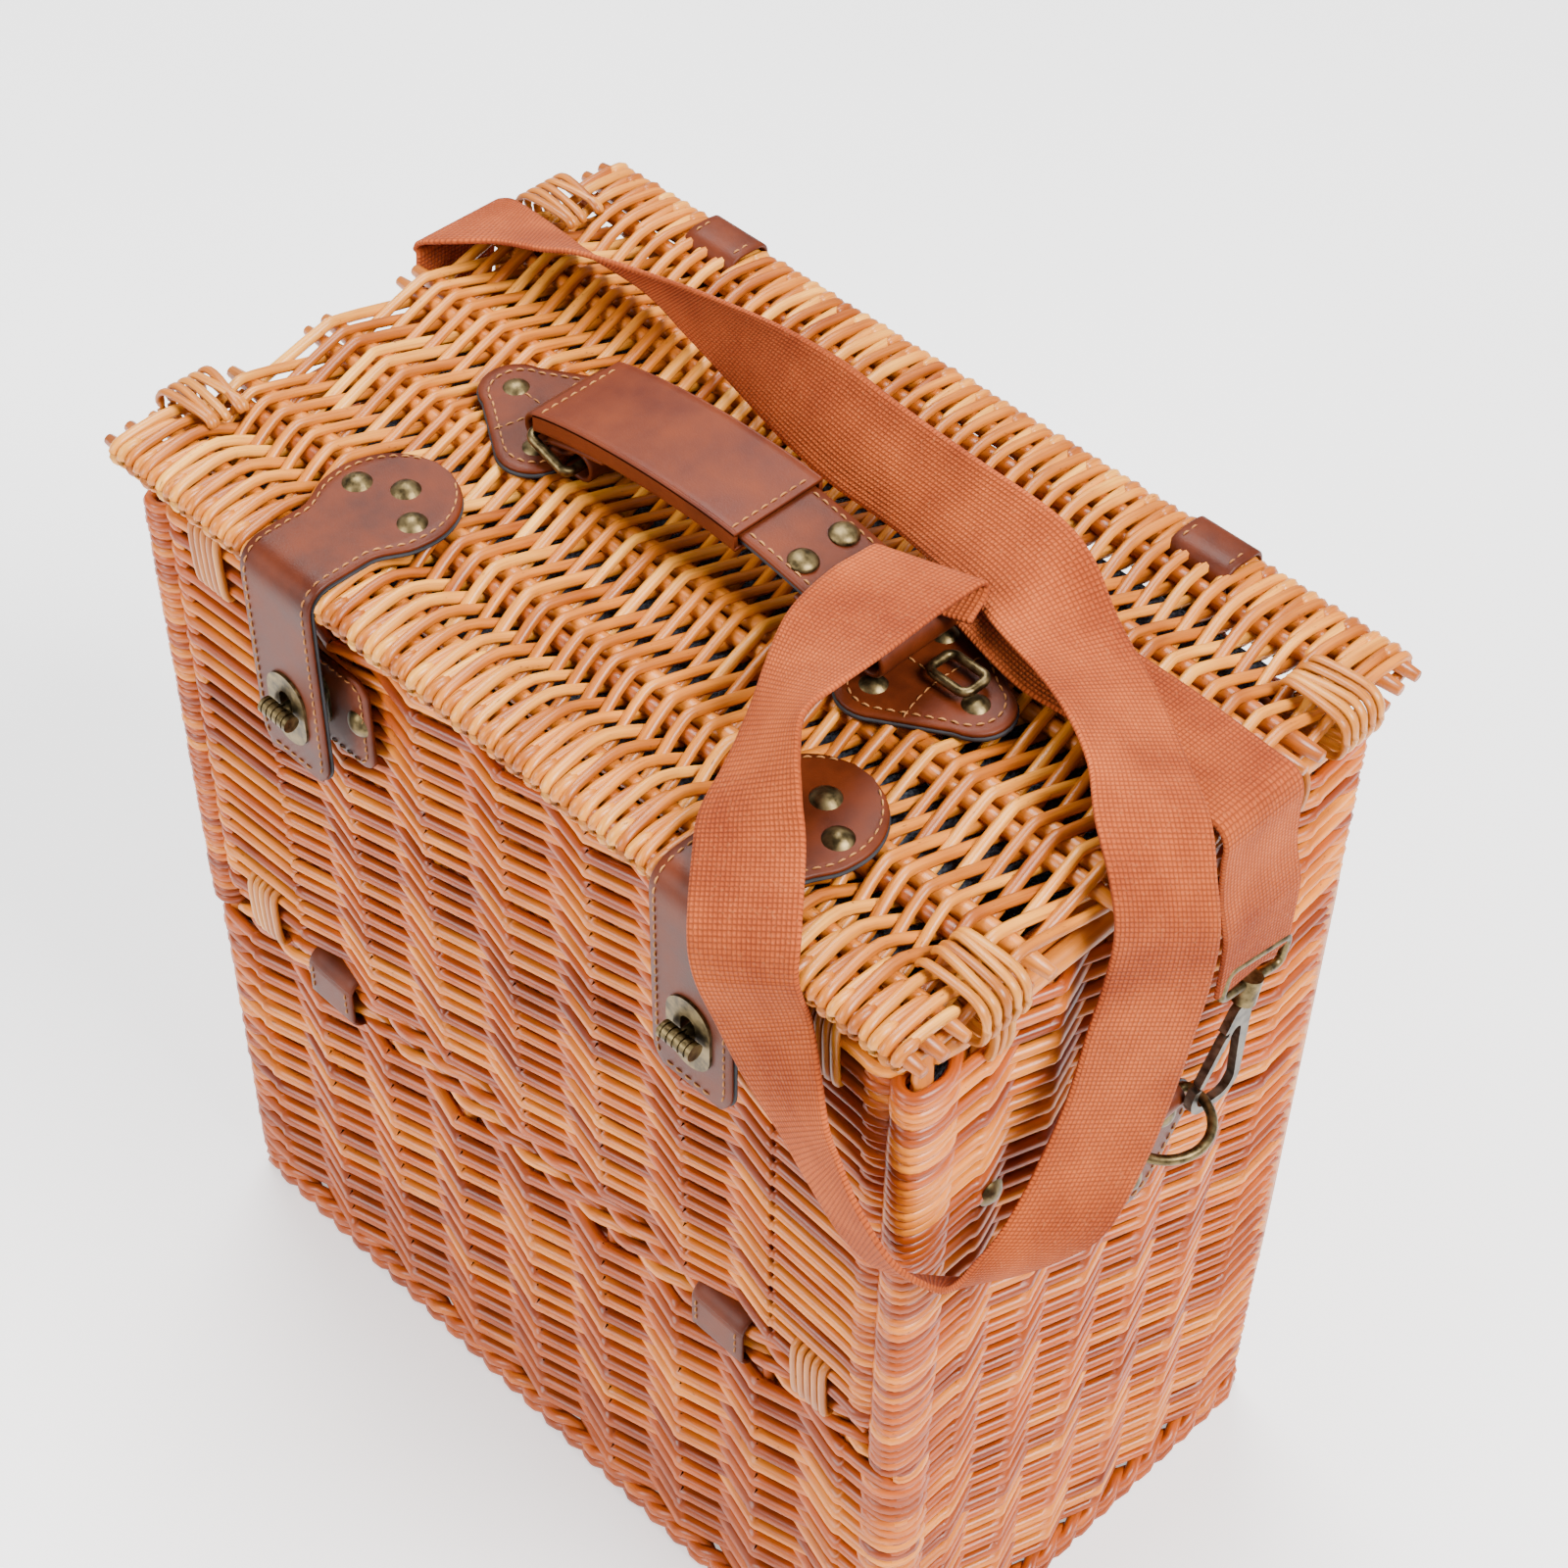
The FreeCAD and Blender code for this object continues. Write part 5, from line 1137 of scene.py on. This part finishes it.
def lining_sheet(cloth, thread, corner, u_edge, v_edge):
    """Thin cloth with shallow puckers towards u_edge x v_edge, a hem and its stitching."""
    corner, u_edge, v_edge = [np.asarray(part, float) for part in (corner, u_edge, v_edge)]
    size = np.array([np.linalg.norm(u_edge), np.linalg.norm(v_edge)])
    u_dir, v_dir = u_edge / size[0], v_edge / size[1]
    normal = np.cross(u_dir, v_dir)
    count = np.maximum((size / 7.0).astype(int), 4)
    u, v = np.meshgrid(np.linspace(0, size[0], count[0]), np.linspace(0, size[1], count[1]),
                       indexing="ij")
    shift = RNG.uniform(0, 30, 4)
    rim = np.minimum(np.minimum(u, size[0] - u), np.minimum(v, size[1] - v))
    flat = np.clip(rim / 16.0, 0, 1)
    wave = np.sin((u + 0.3 * v) / 16.0 + shift[0]) * np.sin(v / 41.0 + shift[1])
    wave += 0.6 * np.sin((v - 0.2 * u) / 21.0 + shift[2]) * np.sin(u / 33.0 + shift[3])
    lift = 0.45 * flat * (1.6 + wave)
    place = corner + u[..., None] * u_dir + v[..., None] * v_dir
    verts = np.stack([place + lift[..., None] * normal,
                      place + (lift + 0.8)[..., None] * normal]).reshape(-1, 3)
    index = np.arange(count[0] * count[1]).reshape(count[0], count[1])
    cells = [(index[i, j], index[i + 1, j], index[i + 1, j + 1], index[i, j + 1])
             for i in range(count[0] - 1) for j in range(count[1] - 1)]
    border = list(index[:-1, 0]) + list(index[-1, :-1]) + list(index[:0:-1, -1])
    border += list(index[0, :0:-1])
    total = count[0] * count[1]
    faces = [tuple(cell[::-1]) for cell in cells]
    faces += [tuple(k + total for k in cell) for cell in cells]
    for a, b in zip(border, border[1:] + border[:1]):
        faces.append((a, b, b + total, a + total))
    grain = np.stack([u, v, lift], -1).reshape(-1, 3)
    cloth.add(verts, faces, 0.5, np.concatenate([grain, grain]))
    edge = place.reshape(-1, 3)[border]
    hem = edge + normal * 0.5
    cloth.tube(hem, 0.9, 6, ref=normal, tone=0.3, closed=True)
    inner = edge.mean(0) + (edge - edge.mean(0)) * (1 - 12.0 / size.mean())
    thread.stitches(np.concatenate([inner, inner[:1]]) + normal * 1.25, normal, 4.0, 2.6, 0.35)


def linings():
    """Dark cloth inside the body, under the lid and behind the front panel."""
    cloth, thread = Strands(), Strands()
    low, high = span("body_lining")
    wide, deep, tall = high - low
    low_front = FRONT_HIGH[2] - 14.0 - low[2]
    lining_sheet(cloth, thread, low, (0, deep, 0), (0, 0, tall))
    lining_sheet(cloth, thread, (high[0], low[1], low[2]), (0, 0, tall), (0, deep, 0))
    lining_sheet(cloth, thread, (low[0], high[1], low[2]), (wide, 0, 0), (0, 0, tall))
    lining_sheet(cloth, thread, low, (0, 0, low_front), (wide, 0, 0))
    lining_sheet(cloth, thread, low, (wide, 0, 0), (0, deep, 0))
    piece(cloth, "body_lining_cloth", LINING, "base", "body_lining")
    piece(thread, "body_lining_stitching", LINING_THREAD, "base")
    cloth, thread = Strands(), Strands()
    low, high = span("lid_lining")
    wide, deep, _ = high - low
    lining_sheet(cloth, thread, (low[0], low[1], high[2]), (0, deep, 0), (wide, 0, 0))
    piece(cloth, "lid_lining_cloth", LINING, "lid", "lid_lining")
    piece(thread, "lid_lining_stitching", LINING_THREAD, "lid")
    cloth, thread = Strands(), Strands()
    low, high = span("panel_lining")
    wide, _, tall = high - low
    lining_sheet(cloth, thread, low, (0, 0, tall), (wide, 0, 0))
    piece(cloth, "panel_lining_cloth", LINING, "front_panel", "panel_lining")
    piece(thread, "panel_lining_stitching", LINING_THREAD, "front_panel")


def lock_backings():
    """Dark leather patches behind the turn knobs."""
    leather_patch, thread = Strands(), Strands()
    y = span("lock_backings")[0][1]
    outline = rounded(28.0, 20.0, 6.0, 6)
    for x in LOCK_X:
        origin = (x, y + 1.9, SLOT_Z)
        leather_patch.plate(np.array(outline), origin, (1, 0, 0), (0, 0, 1), 1.9)
        lane = np.array(outline + outline[:1]) * 0.9
        lane = np.stack([x + lane[:, 0], np.full(len(lane), y - 0.2), SLOT_Z + lane[:, 1]], 1)
        thread.stitches(lane, (0, -1, 0))
    piece(leather_patch, "lock_patch_leather", TAN_LEATHER, "front_panel", "lock_backings")
    piece(thread, "lock_patch_stitching", THREAD, "front_panel")


# ---------------------------------------------------------------- the webbing strap
# Centre and across direction of the webbing at each turn it takes.
BACK_RUN = [
    ((-195.0, 45.0, 404), (0, -1, 0)), ((-189, 45.5, 409.5), (0, -1, 0)),
    ((-172, 51.5, 414), (0.48, -0.83, 0.27)), ((-150, 52.5, 418), (0.55, -0.70, 0.45)),
    ((-133, 53.5, 421), (0.57, -0.57, 0.59)), ((-99.5, 56, 424), (0.66, -0.35, 0.66)),
    ((-72, 55, 425), (0.62, -0.08, 0.75)), ((-44, 52, 426), (0.45, 0.15, 0.88)),
    ((-16, 49, 426), (0.33, 0.36, 0.87)), ((11, 46.5, 425), (0.33, 0.46, 0.82)),
    ((48, 43, 427), (0.40, 0.50, 0.77)), ((88, 36, 430), (0.35, 0.80, 0.45)),
    ((114, 28, 424), (0.25, 0.95, -0.10)), ((140, 18, 421.5), (0.36, 0.87, -0.33)),
    ((162, 5.5, 420.5), (0.33, 0.86, -0.38)), ((180, -8, 418.5), (0.47, 0.83, -0.27)),
    ((193, -17, 409), (0.38, 0.85, -0.35)),
]
HANGING_LOOP = [
    ((200, -21, 394), (0.38, 0.85, -0.37)), ((201, -24, 375), (0.41, 0.84, -0.33)),
    ((202, -30, 358), (0.43, 0.83, -0.33)), ((203, -38, 333), (0.42, 0.84, -0.35)),
    ((205, -52, 312), (0.45, 0.85, -0.28)), ((207, -67, 300), (0.46, 0.82, -0.34)),
    ((206, -79, 297), (0.30, 0.82, -0.50)), ((203, -97, 299), (-0.10, 0.70, -0.70)),
    ((197, -110, 304), (-0.40, 0.50, -0.77)), ((188, -122, 316), (-0.42, 0.35, -0.84)),
    ((176, -126, 330), (-0.34, 0.22, -0.92)), ((165, -126, 343), (-0.43, 0.16, -0.89)),
    ((156, -126, 355), (-0.63, 0.14, -0.77)), ((144, -123, 366), (-0.76, -0.05, -0.65)),
    ((134, -121, 381), (-0.80, -0.23, -0.56)), ((129.5, -124, 399), (-0.86, -0.28, -0.44)),
    ((124, -119.5, 412), (-0.85, -0.38, -0.36)),
]
FOLD_RUN = [
    ((108, -102, 420), (-0.85, -0.37, -0.38)), ((99.5, -93, 426), (-0.81, -0.28, -0.52)),
    ((93, -82, 432), (-0.76, -0.03, -0.65)), ((85, -68, 436), (-0.74, 0.15, -0.62)),
    ((78.5, -50, 436.5), (-0.86, 0.08, -0.38)), ((73, -30, 435.5), (-0.95, -0.10, -0.12)),
    ((70, -8, 434.3), (-0.96, -0.26, 0)), ((69.7, 6, 433.6), (-0.95, -0.32, 0)),
]
OUTER_RUN = [
    ((150, 31, 409.0), (0, 1, 0)), ((180, 29, 409.0), (0, 1, 0)), ((190, 29, 408.0), (0, 1, 0)),
    ((193.6, 29.5, 402.0), (0, 1, 0)),
]
TURN_UNDER = [
    ((69.6, 12.6, 432.6), (-0.95, -0.32, 0)), ((69.8, 14.8, 430.2), (-0.95, -0.32, 0)),
    ((71, 12, 427.6), (-0.95, -0.32, 0)), ((74, 2, 425.6), (-0.93, -0.36, 0)),
]
SLIDE_RUN = [
    ((66, 34, 415.4), (-0.16, 0.98, 0)), ((80, 31.5, 415.6), (-0.16, 0.98, 0)),
    ((98, 28.5, 414.2), (-0.12, 0.99, 0)), ((114, 28.5, 411.4), (-0.04, 0.99, 0)),
    ((128, 31, 409.2), (0, 1, 0)),
]
WEB_HALF = 19.0
WEB_THICK = 2.0
DROP_FOOT_Y = 34.6


def drop_stations(side, top_y):
    """The webbing from the lid's side edge down to the eye of its hook."""
    foot = span("strap_drop_right" if side > 0 else "strap_drop_left")[0][2] + 1.0
    shift = DROP_FOOT_Y - top_y
    steps = ((193.6, 0.0, 402.0), (193.4, 0.15, 392.0), (193.4, 0.50, 376.0),
             (195.4, 0.85, 362.0), (196.0, 1.0, 354.0), (196.0, 1.0, foot))
    return [((side * x, top_y + shift * share, z), ALONG_Y) for x, share, z in steps]


def web_curve(stations, per=10):
    """Centre line and across directions of the webbing through its stations."""
    centres = smooth([s[0] for s in stations], per)
    across = smooth([s[1] for s in stations], per)
    across /= np.linalg.norm(across, axis=1)[:, None]
    normal = np.cross(headings(centres), across)
    return centres, across, normal / np.linalg.norm(normal, axis=1)[:, None]


def web_piece(name, curve, start, end, half=WEB_HALF):
    """One length of the webbing, cut from the whole curve."""
    centres, across, normal = [part[start:end] for part in curve]
    n = len(centres)
    wander = np.interp(np.arange(start, end), np.arange(0, 900, 14), WEB_WANDER)
    strands = Strands()
    strands.strip(centres - normal * WEB_THICK / 2, across, half + wander[:n], WEB_THICK,
                  columns=18)
    return strands.make(name, WEBBING)


WEB_WANDER = RNG.normal(0, 0.25, 65)


def bend_weights(obj, rule):
    """Replace a blended piece's weights by a rule on each point in millimetres."""
    weights = obj.data.attributes["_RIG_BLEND"]
    values = [rule(vertex.co / MM) for vertex in obj.data.vertices]
    weights.data.foreach_set("value", values)


def ease(value):
    value = min(max(value, 0.0), 1.0)
    return value * value * (3 - 2 * value)


def straps():
    """The whole loose shoulder strap as it lies over the lid and past the corner."""
    per = 10
    left_drop = [(p, (0, -1, 0)) for p, _ in drop_stations(-1, 45.0)][::-1]
    run = left_drop + BACK_RUN + HANGING_LOOP + FOLD_RUN + TURN_UNDER
    curve = web_curve(run, per)
    first = (len(left_drop) + 1) * per
    second = first + (len(BACK_RUN) - 3) * per
    third = second + len(HANGING_LOOP) * per
    drop = web_piece("webbing_drop_left", curve, 0, first + 1)
    back = web_piece("webbing_back_run", curve, first, second + 1)
    loop = web_piece("webbing_hanging_loop", curve, second, third + 1)
    fold = web_piece("webbing_fold_run", curve, third, len(curve[0]))
    right = SLIDE_RUN + OUTER_RUN + drop_stations(1, 29.5)[1:]
    curve = web_curve(right, per)
    cut = (len(SLIDE_RUN) + 3) * per
    outer = web_piece("webbing_outer_run", curve, 0, cut + 1, 18.5)
    right_drop = web_piece("webbing_drop_right", curve, cut, len(curve[0]), 18.5)
    for obj, node in ((drop, "strap_drop_left"), (back, "strap_back_run"),
                      (outer, "strap_outer_run"), (right_drop, "strap_drop_right")):
        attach(obj, "lid")
        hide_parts(node)
    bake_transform(loop, "lid", "flap_right", (0.2, -0.08, 0.35), (0.15, -0.12, 0.35))
    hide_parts("strap_hanging_loop")
    bend_weights(loop, lambda p: ease((196.0 - p.x) / 50.0) if p.y < -88.0 else 0.0)
    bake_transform(fold, "lid", "ring_right", (0.100, -0.1, 0.42), (0.075, -0.03, 0.437))
    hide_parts("strap_fold_run")
    bend_weights(fold, lambda p: ease((p.y + 100.0) / 60.0) * ease((12.0 - p.y) / 30.0))


def metalwork():
    """Dark metal on the snap hooks; antique brass on every other CAD node that shows."""
    for name, obj in NODES.items():
        hook = name.startswith("hook_body") or name.startswith("hook_gate")
        obj.data.materials.clear()
        obj.data.materials.append(STEEL if hook else BRASS)


# ------------------------------------------------------------------ light and camera
def area_light(name, place, target, size, power, tint):
    """Soft box aimed at a point."""
    data = bpy.data.lights.new(name, "AREA")
    data.size = size
    data.energy = power
    data.color = tint
    obj = bpy.data.objects.new(name, data)
    obj.location = place
    aim = Vector(target) - Vector(place)
    obj.rotation_euler = aim.to_track_quat("-Z", "Y").to_euler()
    bpy.context.scene.collection.objects.link(obj)
    return obj


def studio():
    """Pale floor, soft light from above and the left, and the viewing camera."""
    material, nodes, links, shader = new_material("pale_floor")
    place = place_of(nodes)
    cloud = noise(nodes, links, place, 3.0, 2.0)
    base = ramp(nodes, links, cloud, [(0.3, (0.90, 0.90, 0.90)), (0.7, (0.93, 0.93, 0.93))])
    links.new(base, shader.inputs["Base Color"])
    shader.inputs["Roughness"].default_value = 0.85
    shader.inputs["Emission Color"].default_value = (1.0, 1.0, 1.0, 1.0)
    shader.inputs["Emission Strength"].default_value = 0.55
    bpy.ops.mesh.primitive_plane_add(size=60.0, location=(0, 0, 0))
    floor = bpy.context.active_object
    floor.name = "floor"
    floor.data.materials.append(material)
    lights = [area_light("key", (1.5, 0.2, 2.0), (0, 0, 0.25), 0.9, 120.0, (1.0, 0.98, 0.96)),
              area_light("fill", (-0.6, -1.9, 1.4), (0, 0, 0.2), 1.2, 60.0, (1.0, 0.99, 0.98)),
              area_light("top", (-0.9, 0.6, 2.4), (0, 0, 0.3), 1.2, 85.0, (1.0, 1.0, 1.0))]
    world = bpy.data.worlds.new("studio")
    world.use_nodes = True
    world.node_tree.nodes["Background"].inputs["Color"].default_value = (0.9, 0.92, 0.95, 1.0)
    world.node_tree.nodes["Background"].inputs["Strength"].default_value = 0.62
    bpy.context.scene.world = world
    data = bpy.data.cameras.new("view")
    data.lens = 70.9
    data.sensor_width = 36.0
    camera = bpy.data.objects.new("view", data)
    turn, tilt, roll = math.radians(44.53), math.radians(46.28), math.radians(1.0)
    back = Vector((math.sin(turn) * math.cos(tilt), -math.cos(turn) * math.cos(tilt),
                   math.sin(tilt)))
    right = Vector((math.cos(turn), math.sin(turn), 0.0))
    up = back.cross(right)
    rolled_right = right * math.cos(roll) + up * math.sin(roll)
    rolled_up = up * math.cos(roll) - right * math.sin(roll)
    grid = Matrix((rolled_right, rolled_up, back)).transposed().to_4x4()
    grid.translation = Vector((0.53433, -0.52134, 1.07285))
    camera.matrix_world = grid
    bpy.context.scene.collection.objects.link(camera)
    bpy.context.scene.camera = camera


lid_weave()
lid_lashings()
side_and_back_walls()
front_lower_wall()
front_panel()
borders()
closures()
handle_patches()
handle()
lock_backings()
straps()
hinge_loops()
side_tabs()
linings()
metalwork()
studio()
